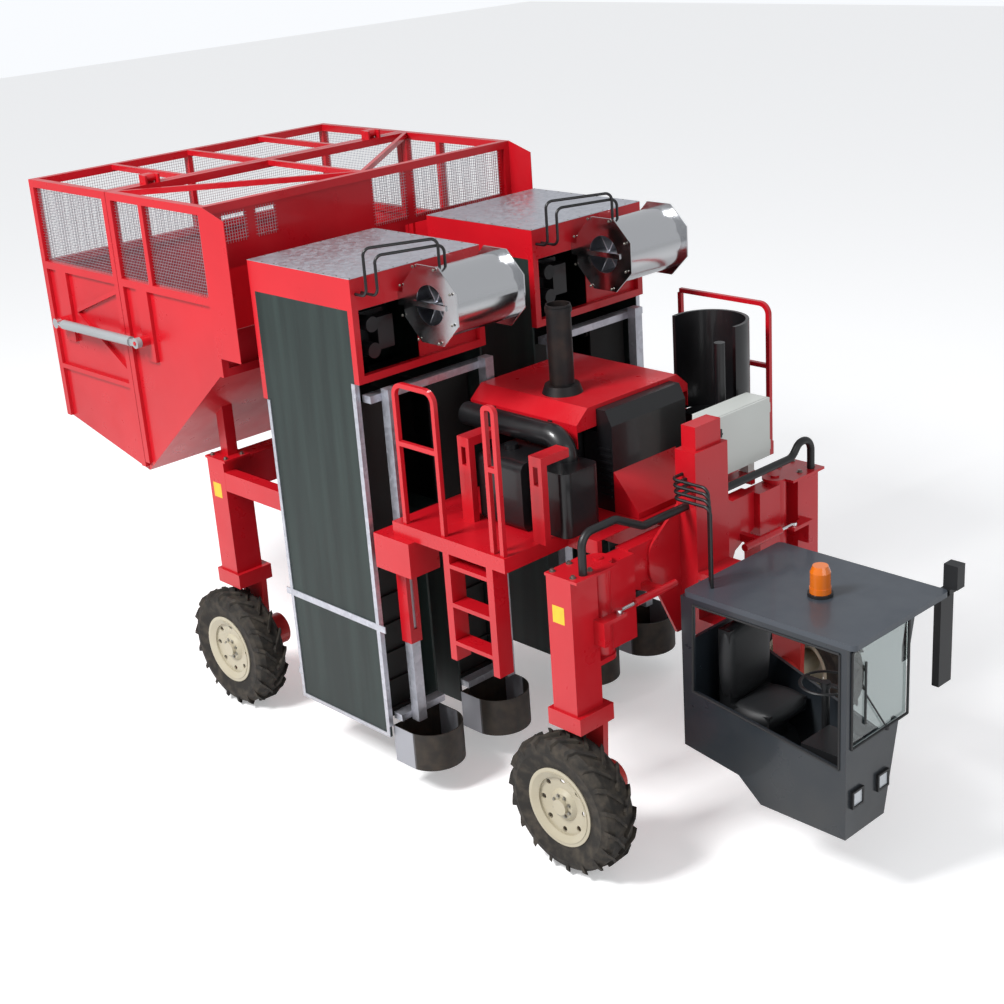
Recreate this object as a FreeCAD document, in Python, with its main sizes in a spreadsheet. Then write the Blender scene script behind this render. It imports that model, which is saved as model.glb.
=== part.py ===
import FreeCAD, Part
import math
import os
import Sketcher

# Two-row tobacco harvester on four tall legs. Millimetres, +X ahead, +Y to the left, +Z up,
# origin on the ground under the middle of the machine.

# Driving sizes, one row each: name in the sheet, millimetres (or degrees, or a count).
SIZES = [
    # Wheels and tyres
    ("AxleFront", 2262), ("AxleRear", -2122), ("TrackHalf", 1500),
    ("TyreRadius", 580), ("TyreWide", 315), ("LugHigh", 34), ("LugThick", 34), ("LugCount", 18),
    ("LugSweep", 13), ("LugStart", 4), ("LugKnee", 0.66), ("LugReach", 0.97), ("LugCurl", 1.3),
    ("LugRoot", 10), ("LugCrown", 6), ("LugEndRoot", 90), ("LugEndDrop", 40), ("BeadRadius", 305), ("RimEdge", 22), ("RimWall", 8), ("RimDiscInset", 62),
    ("HubRadius", 105), ("HubFlange", 14), ("SpindleRadius", 45), ("SpindleGap", 0.3),
    ("HandHoleRadius", 24), ("HandHoleRing", 215), ("HandHoles", 8), ("WheelGap", 6),
    # Legs
    ("LegLong", 250), ("LegOuter", 1510), ("LegInner", 1230), ("LegTop", 2450),
    ("FootTop", 1350), ("FootThick", 140), ("FootLong", 340), ("FootInner", 1160),
    ("DropPlate", 55), ("DropLong", 290), ("MotorRadius", 150), ("MotorLong", 210),
    ("FlangeThick", 22), ("FlangeLong", 460), ("KingpinOffset", 1080), ("KingpinRadius", 38),
    ("PinGap", 0.3), ("HousingRadius", 95), ("HousingBase", 1700), ("EarThick", 40),
    ("SteerArm", 190), ("SteerArmThick", 30), ("SteerHigh", 2093),
    ("RodEye", 30), ("RodEyeThick", 30), ("EyeGap", 1), ("SteerRod", 14), ("SteerBarrel", 32),
    ("SteerBarrelIn", 430), ("SteerBarrelOut", 900), ("SteerRodLong", 430),
    # Frame
    ("BeamLong", 130), ("BeamBack", 2155), ("BeamBase", 2120), ("BeamTop", 2440),
    ("ArchBase", 1950), ("ArchHalf", 420), ("RearBeamLong", 220), ("SpineHalf", 210),
    ("SpineBase", 2140), ("SpineTop", 2420), ("MastHalf", 195), ("MastLong", 200),
    ("MastTop", 3090), ("MastBase", 1560), ("CapHigh", 190), ("CapHalf", 150),
    ("GussetThick", 25), ("GussetHalf", 560), ("GussetTop", 2640),
    # Deck, ladder and rails
    ("DeckTop", 2540), ("DeckPlate", 6), ("DeckRim", 120), ("DeckHalf", 1633),
    ("DeckBack", 545), ("DeckFront", 1830), ("DeckInnerFront", 2150), ("DeckNeckHalf", 960),
    ("LadderBack", 1130), ("LadderFront", 1690), ("LadderBase", 1500), ("StileWide", 70),
    ("StileDeep", 150), ("RungHigh", 35), ("RungPitch", 330),
    ("RailTube", 38), ("RailBend", 90), ("RailTop", 3700), ("RailMid", 3220), ("RailBack", 680),
    ("RailFront", 1130), ("HairpinBack", 1745), ("HairpinFront", 1850), ("FarRailFront", 1815),
    ("FarRailTop", 3760), ("FarRailBack", 850),
    # Engine and what stands round it
    ("HoodBack", 500), ("HoodFront", 1700), ("HoodHalf", 660), ("HoodTop", 3400), ("HoodSkirt", 190),
    ("HoodSlope", 110), ("HoodSheet", 6), ("EngineBack", 620), ("EngineFront", 1500),
    ("EngineHalf", 300), ("EngineTop", 3120), ("EngineFeet", 60), ("RadiatorBack", 1560),
    ("RadiatorFront", 1860), ("RadiatorHalf", 440), ("RadiatorTop", 3180), ("SlopeFront", 2110), ("SlopeTop", 2880),
    ("StackX", 1240), ("StackY", -330), ("StackRadius", 100), ("StackTop", 4120), ("StackWall", 8),
    ("CollarRadius", 165), ("CollarHigh", 70), ("CleanerRadius", 95), ("CleanerHigh", 3230),
    ("CleanerY", -800), ("CleanerBack", 600), ("CleanerFront", 1500), ("CleanerBend", 150),
    ("TankBack", 1110), ("TankFront", 1590), ("TankOuter", -1180), ("TankInner", -700),
    ("TankTop", 3100), ("OilBack", 1650), ("OilFront", 1960), ("OilOuter", -1080),
    ("OilInner", -690), ("OilTop", 3060), ("TankRound", 70), ("CapRadius", 55),
    ("BracketWide", 130), ("BracketDeep", 60), ("BracketTop", 3240), ("BracketY", -1260),
    ("BracketArm", 300), ("BracketSlot", 150),
    ("ShroudX", 1640), ("ShroudY", 1010), ("ShroudRadius", 340), ("ShroudWall", 30),
    ("ShroudBase", 2900), ("ShroudTop", 3740), ("PipeX", 1930), ("PipeY", 800), ("PipeRadius", 45), ("PipeTop", 3640),
    ("CabinetBack", 2030), ("CabinetFront", 2270), ("CabinetRight", 320), ("CabinetLeft", 1010),
    ("CabinetBase", 2680), ("CabinetTop", 3180), ("CabinetWall", 3), ("CabinetDoor", 20),
    ("DoorGap", 6), ("HingeRadius", 9), ("HingePin", 5),
    # Cab
    ("RoofBack", 2670), ("RoofFront", 4225), ("RoofHalf", 600), ("RoofTop", 2150),
    ("RoofThick", 45), ("CabRight", -600), ("CabLeft", 560), ("CabSheet", 30), ("PostWide", 60),
    ("CabBack", 2650), ("CabFront", 4160), ("RearSill", 1710), ("SillBack", 1320), ("SillFront", 1130),
    ("FloorBack", 820), ("FloorStep", 740), ("StepX", 3180), ("FloorLow", 560),
    ("FloorLowBack", 3390), ("ScreenBase", 1290), ("GlassThick", 8),
    ("CabTaper", 11), ("CabLean", 13),
    ("BeaconX", 3530), ("BeaconY", -40), ("BeaconRadius", 78), ("BeaconHigh", 170),
    ("BeaconFoot", 70), ("LampSize", 110), ("LampDeep", 14), ("LampHigh", 870),
    ("LampRight", -470), ("LampLeft", -150), ("SeatX", 3050), ("SeatWide", 480),
    ("SeatHigh", 1160), ("SeatThick", 110), ("BackHigh", 620), ("WheelRingX", 3640),
    ("WheelRingRadius", 190), ("WheelRingTube", 15), ("WheelRingHigh", 1470),
    ("ColumnRadius", 30), ("MirrorHigh", 720), ("MirrorWide", 170), ("MirrorDeep", 60),
    # Picking units
    ("UnitBack", -985), ("UnitFront", 342), ("UnitOuter", 1666), ("UnitInner", 302),
    ("UnitPitch", 1968), ("UnitTop", 4487), ("BandHigh", 257), ("BandSheet", 8),
    ("UnitPost", 60), ("FrontPostBase", 3640), ("RearPostBase", 3300), ("TopSheet", 4),
    ("SkinThick", 22), ("SkinBase", 500), ("TunnelOuter", 1100), ("TunnelInner", 850),
    ("TunnelTop", 2350), ("StrapHigh", 1500), ("StrapDeep", 60), ("StrapThick", 8), ("AngleWide", 36),
    ("GuideSquare", 90), ("GuideX", 430), ("GuideRearX", -1090), ("GuideOuter", 1450),
    ("GuideInner", 400), ("GuideBase", 640), ("SleeveWall", 14), ("SleeveGap", 0.3),
    ("SleeveBase", 1380), ("SleeveTop", 2300), ("SleeveArm", 2120), ("BracketOuter", 1700), ("BracketFront", 800), ("SleeveArmHigh", 320),
    ("BeltFront", 130), ("BeltBack", -640), ("BeltTop", 3420), ("BeltGap", 30), ("BeltThick", 20), ("SlatDeep", 30),
    ("SlatHigh", 14), ("SlatPitch", 260), ("SlatCount", 7), ("ShoeLong", 470), ("ShoeBase", 260),
    ("ShoeRim", 600), ("ShoeSheet", 8), ("SidePlate", 6), ("MotorBodyRadius", 62),
    ("MotorBodyLong", 180), ("ValveSize", 150),
    # Fans on the units
    ("FanX", 720), ("FanZ", 4230), ("FanPlateWide", 620), ("FanPlateThick", 12),
    ("FanOuter", 1200), ("FanInner", 470), ("DrumRadius", 275), ("DrumSheet", 5),
    ("InletRadius", 160), ("FanShaft", 22), ("FanBladeLong", 190), ("FanBlades", 6),
    ("BladeThick", 8), ("FanGap", 0.3), ("FanArm", 60),
    # Hoses
    ("HoseX", 2385), ("HoseLow", 2640), ("HoseRiseRight", 700), ("HoseCrestRight", 1000),
    ("HoseEndRight", 1370), ("HoseTopRight", 2790), ("HoseRiseLeft", 1150), ("HoseCrestLeft", 1245),
    ("HoseEndLeft", 1410), ("HoseTopLeft", 2745), ("HoseBend", 110),
    ("HoseRadius", 32), ("EndGap", 0.3), ("CabHoses", 4), ("CabHosePitch", 34), ("CabHoseHigh", 2900),
    ("CabHoseY", -330), ("CabHoseBend", 60), ("CabHoseRadius", 13), ("LoopRadius", 12),
    ("LoopTop", 4730), ("LoopX", 480), ("LoopBend", 60), ("LoopPitch", 60),
    # Bin
    ("BinBack", -4274), ("BinSplit", -2913), ("BinFront", -1397), ("BinHalf", 1767),
    ("BinTop", 4892), ("BinRail", 70), ("BinSheet", 6), ("MidRail", 4080), ("BinHeel", 2565),
    ("BinKeel", 2256), ("BinSill", 3500), ("SplitGap", 8), ("FrontMeshBase", 4400),
    ("MeshThick", 5), ("WindowPost", 60), ("BinPost", 2240), ("PivotRise", 43),
    ("PivotRadius", 22), ("KnuckleY", 1300), ("CheekThick", 20), ("KnuckleLong", 110), ("WingLong", 290), ("WingBase", 3600),
    ("WingDrop", 90), ("EntryBase", 3800), ("EntryTop", 4330), ("EntryInner", 420),
    ("EntryOuter", 1550), ("BraceDeep", 45), ("CrossRail", 50), ("GateRailY", 880), ("RibHigh", 3080),
    ("GateEyeX", -3950), ("GateEyeZ", 3570), ("FixedEyeX", -2540), ("FixedEyeZ", 3590),
    ("CylinderY", 1880), ("BarrelRadius", 45), ("RodRadius", 24), ("EyeRadius", 48),
    ("EyeThick", 50), ("EyePin", 18), ("RodGap", 0.4), ("LugPlate", 16),
    ("BinLegSquare", 110), ("BinLegY", 1340), ("BinBraceX", -1700),
]

doc = FreeCAD.newDocument("TobaccoHarvester")
sheet = doc.addObject("Spreadsheet::Sheet", "Sizes")
for row, (alias, value) in enumerate(SIZES, start=1):
    sheet.set(f"A{row}", alias)
    sheet.set(f"B{row}", str(value))
    sheet.setAlias(f"B{row}", alias)
doc.recompute()


class Size:
    """A length, known both as a number and as the sheet's expression for it."""

    def __init__(self, text, number):
        self.text = text
        self.number = number

    def __add__(self, other):
        other = size(other)
        return Size(f"({self.text} + {other.text})", self.number + other.number)

    def __sub__(self, other):
        other = size(other)
        return Size(f"({self.text} - {other.text})", self.number - other.number)

    def __mul__(self, other):
        other = size(other)
        return Size(f"({self.text} * {other.text})", self.number * other.number)

    def __truediv__(self, other):
        other = size(other)
        return Size(f"({self.text} / {other.text})", self.number / other.number)

    def __neg__(self):
        return Size(f"(0 - {self.text})", -self.number)

    def __radd__(self, other):
        return size(other) + self

    def __rsub__(self, other):
        return size(other) - self

    def __rmul__(self, other):
        return size(other) * self


def size(value):
    """Any number as a Size."""
    if isinstance(value, Size):
        return value
    return Size(f"({float(value):.6f})", float(value))


def cosine(angle):
    """The cosine of a Size in degrees."""
    return Size(f"cos({angle.text} * 1 deg)", math.cos(math.radians(angle.number)))


def sine(angle):
    """The sine of a Size in degrees."""
    return Size(f"sin({angle.text} * 1 deg)", math.sin(math.radians(angle.number)))


class Named:
    """Every row of the sheet, read by its name."""


z = Named()
for alias, value in SIZES:
    setattr(z, alias, Size(f"Sizes.{alias}", float(value)))

NODES = []
X_AXIS, Y_AXIS, Z_AXIS = (FreeCAD.Vector(1, 0, 0), FreeCAD.Vector(0, 1, 0), FreeCAD.Vector(0, 0, 1))
TURN_Z_TO = {"X": (Y_AXIS, 90), "Y": (X_AXIS, -90), "Z": (Z_AXIS, 0)}


def bind(thing, path, value):
    """Tie one property to the sheet."""
    thing.setExpression(path, size(value).text)


def move(thing, at):
    """Tie a thing's place to the sheet."""
    for letter, value in zip("xyz", at):
        bind(thing, f"Placement.Base.{letter}", value)
    return thing


def node(label, thing):
    """Name a finished sub-part; its label names its file."""
    thing.Label = label
    NODES.append(thing)
    return thing


def box(name, low, high):
    """A block from its low corner to its high corner."""
    block = doc.addObject("Part::Box", name)
    for side, start, end in zip(("Length", "Width", "Height"), low, high):
        bind(block, side, end - start)
    return move(block, low)


def rod(name, foot, axis, long, radius):
    """A round bar that starts at foot and runs along +X, +Y or +Z."""
    bar = doc.addObject("Part::Cylinder", name)
    bind(bar, "Radius", radius)
    bind(bar, "Height", long)
    turn_axis, angle = TURN_Z_TO[axis]
    bar.Placement = FreeCAD.Placement(FreeCAD.Vector(), FreeCAD.Rotation(turn_axis, angle))
    return move(bar, foot)


def fuse(name, pieces):
    """Pieces welded into one."""
    joined = doc.addObject("Part::MultiFuse", name)
    joined.Shapes = pieces
    return joined


def group(name, pieces):
    """Pieces of one sub-part that don't touch."""
    together = doc.addObject("Part::Compound", name)
    together.Links = pieces
    return together


def cut(name, base, tools):
    """A base with tools cut away."""
    tool = tools[0] if len(tools) == 1 else fuse(name + "Tools", tools)
    left = doc.addObject("Part::Cut", name)
    left.Base = base
    left.Tool = tool
    return left


def mirrored(name, thing):
    """The same piece on the machine's other side."""
    other = doc.addObject("Part::Mirroring", name)
    other.Source = thing
    other.Normal = Y_AXIS
    return other


def shifted(name, thing, offset):
    """A copy of a piece, moved along Y."""
    copy = group(name, [thing])
    bind(copy, "Placement.Base.y", offset)
    return copy


def origin_part(body, role):
    """A body's own origin plane or axis."""
    return [part for part in body.Origin.OriginFeatures if part.Role == role][0]


def draw(body, name, plane, offset, outline, holes=()):
    """A closed outline, each corner held to the sheet, with round holes (u, v, radius)."""
    sketch = body.newObject("Sketcher::SketchObject", name)
    sketch.AttachmentSupport = [(origin_part(body, plane), "")]
    sketch.MapMode = "FlatFace"
    bind(sketch, "AttachmentOffset.Base.z", offset)
    points = [FreeCAD.Vector(size(u).number, size(v).number, 0) for u, v in outline]
    count = len(points)
    for index, point in enumerate(points):
        sketch.addGeometry(Part.LineSegment(point, points[(index + 1) % count]))
    for index in range(count):
        sketch.addConstraint(Sketcher.Constraint("Coincident", index, 2, (index + 1) % count, 1))
    for index, (u, v) in enumerate(outline):
        for kind, value in (("DistanceX", size(u)), ("DistanceY", size(v))):
            place = sketch.addConstraint(Sketcher.Constraint(kind, -1, 1, index, 1, value.number))
            bind(sketch, f"Constraints[{place}]", value)
    for u, v, radius in holes:
        middle = FreeCAD.Vector(size(u).number, size(v).number, 0)
        ring = sketch.addGeometry(Part.Circle(middle, Z_AXIS, size(radius).number))
        for kind, value in (("DistanceX", size(u)), ("DistanceY", size(v))):
            place = sketch.addConstraint(Sketcher.Constraint(kind, -1, 1, ring, 3, value.number))
            bind(sketch, f"Constraints[{place}]", value)
        place = sketch.addConstraint(Sketcher.Constraint("Radius", ring, size(radius).number))
        bind(sketch, f"Constraints[{place}]", radius)
    return sketch


def round_corners(body, solid, plane, outline, rounds):
    """Fillet the edges that stand on the named corners of the outline: {corner: radius}."""
    doc.recompute()
    for radius in {id(value): value for value in rounds.values()}.values():
        names = []
        for index, edge in enumerate(solid.Shape.Edges, start=1):
            ends = [vertex.Point for vertex in edge.Vertexes]
            for corner, value in rounds.items():
                u, v = (size(part).number for part in outline[corner])
                seen = [{"XY_Plane": (p.x, p.y), "XZ_Plane": (p.x, p.z), "YZ_Plane": (p.y, p.z)}[plane]
                        for p in ends]
                here = all(abs(a - u) < 0.01 and abs(b - v) < 0.01 for a, b in seen)
                if value is radius and here and len(ends) == 2:
                    names.append(f"Edge{index}")
        fillet = body.newObject("PartDesign::Fillet", body.Name + "Round")
        fillet.Base = (solid, names)
        bind(fillet, "Radius", radius)
        doc.recompute()
        solid = fillet
    body.Tip = solid


def plate(name, plane, outline, low, high, holes=(), rounds=None):
    """A profile pushed from low to high along the normal of its plane."""
    body = doc.addObject("PartDesign::Body", name)
    start = -size(high) if plane == "XZ_Plane" else size(low)
    sketch = draw(body, name + "Outline", plane, start, outline, holes)
    pad = body.newObject("PartDesign::Pad", name + "Pad")
    pad.Profile = sketch
    bind(pad, "Length", size(high) - size(low))
    if rounds:
        round_corners(body, pad, plane, outline, rounds)
    return body


def turned(name, profile, foot, axis):
    """A ring or disc: a profile of (radius, height) turned round an axis through foot."""
    body = doc.addObject("PartDesign::Body", name)
    sketch = draw(body, name + "Outline", "XZ_Plane", size(0), profile)
    turn = body.newObject("PartDesign::Revolution", name + "Turn")
    turn.Profile = sketch
    turn.ReferenceAxis = (sketch, ["V_Axis"])
    turn.Angle = 360
    turn_axis, angle = TURN_Z_TO[axis]
    body.Placement = FreeCAD.Placement(FreeCAD.Vector(), FreeCAD.Rotation(turn_axis, angle))
    return move(body, foot)


def bent_path(points, bend):
    """Straight runs joined by tangent arcs of one radius, as one wire."""
    corners = [FreeCAD.Vector(*(size(value).number for value in point)) for point in points]
    edges = []
    last = corners[0]
    for before, corner, after in zip(corners, corners[1:], corners[2:]):
        inward = (before - corner).normalize()
        outward = (after - corner).normalize()
        half = inward.getAngle(outward) / 2
        reach = bend / math.tan(half)
        start = corner + inward * reach
        end = corner + outward * reach
        centre = corner + (inward + outward).normalize() * (bend / math.sin(half))
        middle = centre + (corner - centre).normalize() * bend
        edges.append(Part.LineSegment(last, start).toShape())
        edges.append(Part.Arc(start, middle, end).toShape())
        last = end
    edges.append(Part.LineSegment(last, corners[-1]).toShape())
    return Part.Wire(edges)


def tube(name, points, bend, radius):
    """A round hose or pipe along a bent path."""
    path = bent_path(points, size(bend).number)
    first = path.Edges[0]
    section = Part.Wire(Part.makeCircle(size(radius).number, first.valueAt(first.FirstParameter),
                                        first.tangentAt(first.FirstParameter)))
    hose = doc.addObject("Part::Feature", name)
    hose.Shape = path.makePipeShell([section], True, True)
    hose.Placement = FreeCAD.Placement()
    return hose


def square_tube(name, points, bend, wide):
    """A square rail along a bent path that lies in a plane of constant Y."""
    path = bent_path(points, size(bend).number)
    first = path.Edges[0]
    start = first.valueAt(first.FirstParameter)
    along = first.tangentAt(first.FirstParameter)
    across = along.cross(Y_AXIS).normalize()
    half = size(wide).number / 2
    corners = [start + across * (half * a) + Y_AXIS * (half * b)
               for a, b in ((1, 1), (1, -1), (-1, -1), (-1, 1))]
    section = Part.makePolygon(corners + corners[:1])
    rail = doc.addObject("Part::Feature", name)
    rail.Shape = path.makePipeShell([section], True, True)
    rail.Placement = FreeCAD.Placement()
    return rail


def side_span(side, inner, outer):
    """Low and high Y of something between inner and outer on the left (1) or right (-1) side."""
    if side > 0:
        return inner, outer
    return -outer, -inner


SIDES = (("left", 1), ("right", -1))
ENDS = (("front", z.AxleFront), ("rear", z.AxleRear))
AXLE_HIGH = z.TyreRadius

# Tyres: carcass with a chevron of lugs on each half of the tread, half a pitch apart


def lug(body, name, half, lead):
    """One bar of the tread, lofted from the middle of the tread to the shoulder."""
    shoulder = z.TyreWide / 2
    root = z.TyreRadius - z.LugHigh
    # Columns: place across the tread, sweep, inner radius, outer radius
    stations = (
        (z.LugStart, size(0), root - z.LugRoot, z.TyreRadius),
        (shoulder * z.LugKnee, z.LugSweep, root - z.LugRoot * 2, z.TyreRadius - z.LugCrown),
        (shoulder * z.LugReach, z.LugSweep * z.LugCurl, root - z.LugEndRoot, z.TyreRadius - z.LugEndDrop),
    )
    sections = []
    for index, (across, sweep, inner, outer) in enumerate(stations):
        outline = []
        for radius, turn in ((inner, -1), (outer, -1), (outer, 1), (inner, 1)):
            high = radius * cosine(sweep)
            along = radius * sine(sweep) + turn * z.LugThick / 2
            outline.append((high * cosine(lead) - along * sine(lead),
                            high * sine(lead) + along * cosine(lead)))
        sections.append(draw(body, f"{name}Section{index}", "XY_Plane", half * across, outline))
    bar = body.newObject("PartDesign::AdditiveLoft", name)
    bar.Profile = sections[0]
    bar.Sections = sections[1:]
    bar.Ruled = True
    return bar


def tyre(name, centre_y):
    """A lugged farm tyre round the Y axis; the points of its chevrons meet the ground first."""
    half_wide = z.TyreWide / 2
    root = z.TyreRadius - z.LugHigh
    right_half = (
        (z.BeadRadius, half_wide * 0.84), (z.BeadRadius + 45, half_wide * 0.84),
        (z.BeadRadius + 150, half_wide), (root - 35, half_wide * 0.9), (root, half_wide * 0.62),
    )
    left_half = tuple((radius, -across) for radius, across in reversed(right_half))
    body = doc.addObject("PartDesign::Body", name)
    sketch = draw(body, name + "Outline", "XZ_Plane", size(0), right_half + left_half)
    carcass = body.newObject("PartDesign::Revolution", name + "Carcass")
    carcass.Profile = sketch
    carcass.ReferenceAxis = (sketch, ["V_Axis"])
    carcass.Angle = 360
    bars = [lug(body, name + "LugA", 1, size(0)), lug(body, name + "LugB", -1, size(180) / z.LugCount)]
    doc.recompute()
    ring = body.newObject("PartDesign::PolarPattern", name + "Tread")
    ring.Originals = bars
    ring.Axis = (sketch, ["V_Axis"])
    ring.Angle = 360
    bind(ring, "Occurrences", z.LugCount)
    body.Tip = ring
    doc.recompute()
    return body


master_tyre = tyre("TyreMaster", 0)


def wheel(end_name, axle_x, side_name, side):
    """One wheel: the lugged tyre and the dished rim with its hub."""
    name = f"{end_name}_{side_name}"
    centre = (axle_x, side * z.TrackHalf, AXLE_HIGH)
    # The wheel's own +Z points out of the machine
    outward = FreeCAD.Rotation(X_AXIS, -90 * side)
    rubber = group(f"Tyre_{name}", [master_tyre])
    rubber.Placement = FreeCAD.Placement(FreeCAD.Vector(), outward)
    node(f"tyre_{name}", move(rubber, centre))

    seat = z.TyreWide * 0.42 + 0.3
    inside = z.BeadRadius - 0.3
    disc = z.TyreWide / 2 - z.RimDiscInset
    hub_back = z.TrackHalf - (z.LegInner + z.DropPlate + z.WheelGap)
    bore = z.SpindleRadius + z.SpindleGap
    barrel = turned(f"Barrel_{name}", (
        (inside, -seat), (inside + z.RimEdge, -seat), (inside + z.RimEdge, -seat - z.RimWall),
        (inside - z.RimWall, -seat - z.RimWall), (inside - z.RimWall, disc - 70),
        (inside - 60, disc - 40), (inside - 60, disc + 20), (inside - z.RimWall, disc + 50),
        (inside - z.RimWall, seat + z.RimWall), (inside + z.RimEdge, seat + z.RimWall),
        (inside + z.RimEdge, seat), (inside, seat), (inside, disc + 50 - z.RimWall),
        (inside - 52, disc + 20 - z.RimWall), (inside - 52, disc - 40 + z.RimWall),
        (inside, disc - 70 + z.RimWall),
    ), (size(0), size(0), size(0)), "Z")
    web = turned(f"Web_{name}", (
        (bore, -hub_back), (z.HubRadius, -hub_back), (z.HubRadius, disc - 30),
        (inside - 56, disc - 12), (inside - 56, disc), (z.HubRadius + 30, disc - 14),
        (z.HubRadius, disc + z.HubFlange), (z.HubRadius * 0.62, disc + z.HubFlange),
        (z.HubRadius * 0.62, disc + 46), (size(0), disc + 46), (size(0), disc + 20), (bore, disc + 20),
    ), (size(0), size(0), size(0)), "Z")
    holes = []
    for index in range(int(z.HandHoles.number)):
        angle = size(360.0 * index) / z.HandHoles
        at = (z.HandHoleRing * cosine(angle), z.HandHoleRing * sine(angle), disc - 60)
        holes.append(rod(f"HandHole_{name}_{index}", at, "Z", size(120), z.HandHoleRadius))
    rim = cut(f"Rim_{name}", fuse(f"RimBlank_{name}", [barrel, web]), holes)
    rim.Placement = FreeCAD.Placement(FreeCAD.Vector(), outward)
    node(f"rim_{name}", move(rim, centre))


for end_name, axle_x in ENDS:
    for side_name, side in SIDES:
        wheel(end_name, axle_x, side_name, side)

# Legs: square column, foot over the tyre, drop plate, hub motor and stub axle


def leg(end_name, axle_x, side_name, side):
    """One leg on its side of the machine; the front ones carry ears for a kingpin."""
    name = f"{end_name}_{side_name}"
    front = end_name == "front"
    column_base = z.FootTop
    half = z.LegLong / 2
    y0, y1 = side_span(side, z.LegInner, z.LegOuter)
    pieces = [box(f"Column_{name}", (axle_x - half, y0, column_base), (axle_x + half, y1, z.LegTop))]
    y0, y1 = side_span(side, z.FootInner, z.LegOuter + 20)
    foot = z.FootLong / 2
    pieces.append(box(f"Foot_{name}", (axle_x - foot, y0, z.FootTop - z.FootThick),
                      (axle_x + foot, y1, z.FootTop)))
    y0, y1 = side_span(side, z.LegInner, z.LegInner + z.DropPlate)
    drop = z.DropLong / 2
    outline = (
        (axle_x - foot, z.FootTop - z.FootThick), (axle_x - drop, AXLE_HIGH + 120),
        (axle_x - drop, AXLE_HIGH - 60), (axle_x - 60, AXLE_HIGH - drop),
        (axle_x + 60, AXLE_HIGH - drop), (axle_x + drop, AXLE_HIGH - 60),
        (axle_x + drop, AXLE_HIGH + 120), (axle_x + foot, z.FootTop - z.FootThick),
    )
    pieces.append(plate(f"Drop_{name}", "XZ_Plane", outline, y0, y1))
    y0, y1 = side_span(side, z.LegInner - z.MotorLong, z.LegInner)
    pieces.append(rod(f"Motor_{name}", (axle_x, y0, AXLE_HIGH), "Y", y1 - y0, z.MotorRadius))
    hub_face = z.TrackHalf + z.TyreWide / 2 - z.RimDiscInset
    y0, y1 = side_span(side, z.LegInner + z.DropPlate, hub_face)
    pieces.append(rod(f"Spindle_{name}", (axle_x, y0, AXLE_HIGH), "Y", y1 - y0, z.SpindleRadius))
    if front:
        pieces += kingpin_ears(name, axle_x, side)
    else:
        y0, y1 = side_span(side, z.LegInner - 10, z.LegOuter)
        pieces.append(box(f"Head_{name}", (axle_x - half - 30, y0, z.LegTop),
                          (axle_x + half + 30, y1, z.LegTop + z.FlangeThick)))
    node(f"leg_{name}", fuse(f"Leg_{name}", pieces))


def kingpin_ears(name, axle_x, side):
    """The plates above and below the steering head, the kingpin and the steering arm."""
    pin_y = side * z.KingpinOffset
    ear = z.HousingRadius + 12
    half = z.FlangeLong / 2
    low, high = side_span(side, z.KingpinOffset, z.LegOuter)
    top = box(f"TopEar_{name}", (axle_x - half + 90, low, z.LegTop),
              (axle_x + half - 40, high, z.LegTop + z.FlangeThick))
    top_round = rod(f"TopRound_{name}", (axle_x, pin_y, z.LegTop), "Z", z.FlangeThick, ear)
    lower = z.HousingBase - z.EarThick - 1
    low, high = side_span(side, z.KingpinOffset, z.LegInner)
    bottom = box(f"LowEar_{name}", (axle_x - ear, low, lower), (axle_x + ear, high, lower + z.EarThick))
    bottom_round = rod(f"LowRound_{name}", (axle_x, pin_y, lower), "Z", z.EarThick, ear)
    pin_high = z.LegTop + z.FlangeThick + 14 - lower
    pin = rod(f"Kingpin_{name}", (axle_x, pin_y, lower), "Z", pin_high, z.KingpinRadius)
    low, high = side_span(side, z.LegInner, z.LegInner + 60)
    arm_tip_x = axle_x + z.SteerArm
    arm_low, arm_high = side_span(side, z.KingpinOffset - 45, z.LegInner + 40)
    arm_top = z.SteerHigh - z.RodEyeThick / 2 - z.EyeGap
    arm = box(f"Arm_{name}", (axle_x + z.HousingRadius + 50, arm_low, arm_top - z.SteerArmThick),
              (arm_tip_x + 45, arm_high, arm_top))
    web = box(f"ArmWeb_{name}", (axle_x + z.LegLong / 2 - 10, low, arm_top - 200),
              (arm_tip_x + 45, high, arm_top))
    return [top, top_round, bottom, bottom_round, pin, arm, web]


for end_name, axle_x in ENDS:
    for side_name, side in SIDES:
        leg(end_name, axle_x, side_name, side)

# Cross-beams, steering heads, centre spine


def steering_head(side_name, side):
    """The bored tube that the kingpin turns in, with its box back to the beam."""
    pin_y = side * z.KingpinOffset
    low = z.HousingBase
    high = z.LegTop - 1
    tube_part = rod(f"HeadTube_{side_name}", (z.AxleFront, pin_y, low), "Z", high - low, z.HousingRadius)
    y0, y1 = side_span(side, z.KingpinOffset - 310, z.KingpinOffset)
    box_part = box(f"HeadBox_{side_name}", (z.AxleFront - 85, y0, low + 30), (z.AxleFront + 85, y1, high - 20))
    bore = rod(f"HeadBore_{side_name}", (z.AxleFront, pin_y, low - 5), "Z", high - low + 10,
               z.KingpinRadius + z.PinGap)
    return cut(f"Head_{side_name}", fuse(f"HeadBlank_{side_name}", [tube_part, box_part]), [bore])


head_reach = z.KingpinOffset - 310
beam_outline = (
    (-head_reach, z.BeamTop), (-head_reach, z.BeamBase), (-z.ArchHalf, z.ArchBase),
    (z.ArchHalf, z.ArchBase), (head_reach, z.BeamBase), (head_reach, z.BeamTop),
)
front_beam = plate("FrontBeam", "YZ_Plane", beam_outline, z.BeamBack, z.BeamBack + z.BeamLong)
heads = [steering_head(side_name, side) for side_name, side in SIDES]


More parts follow.
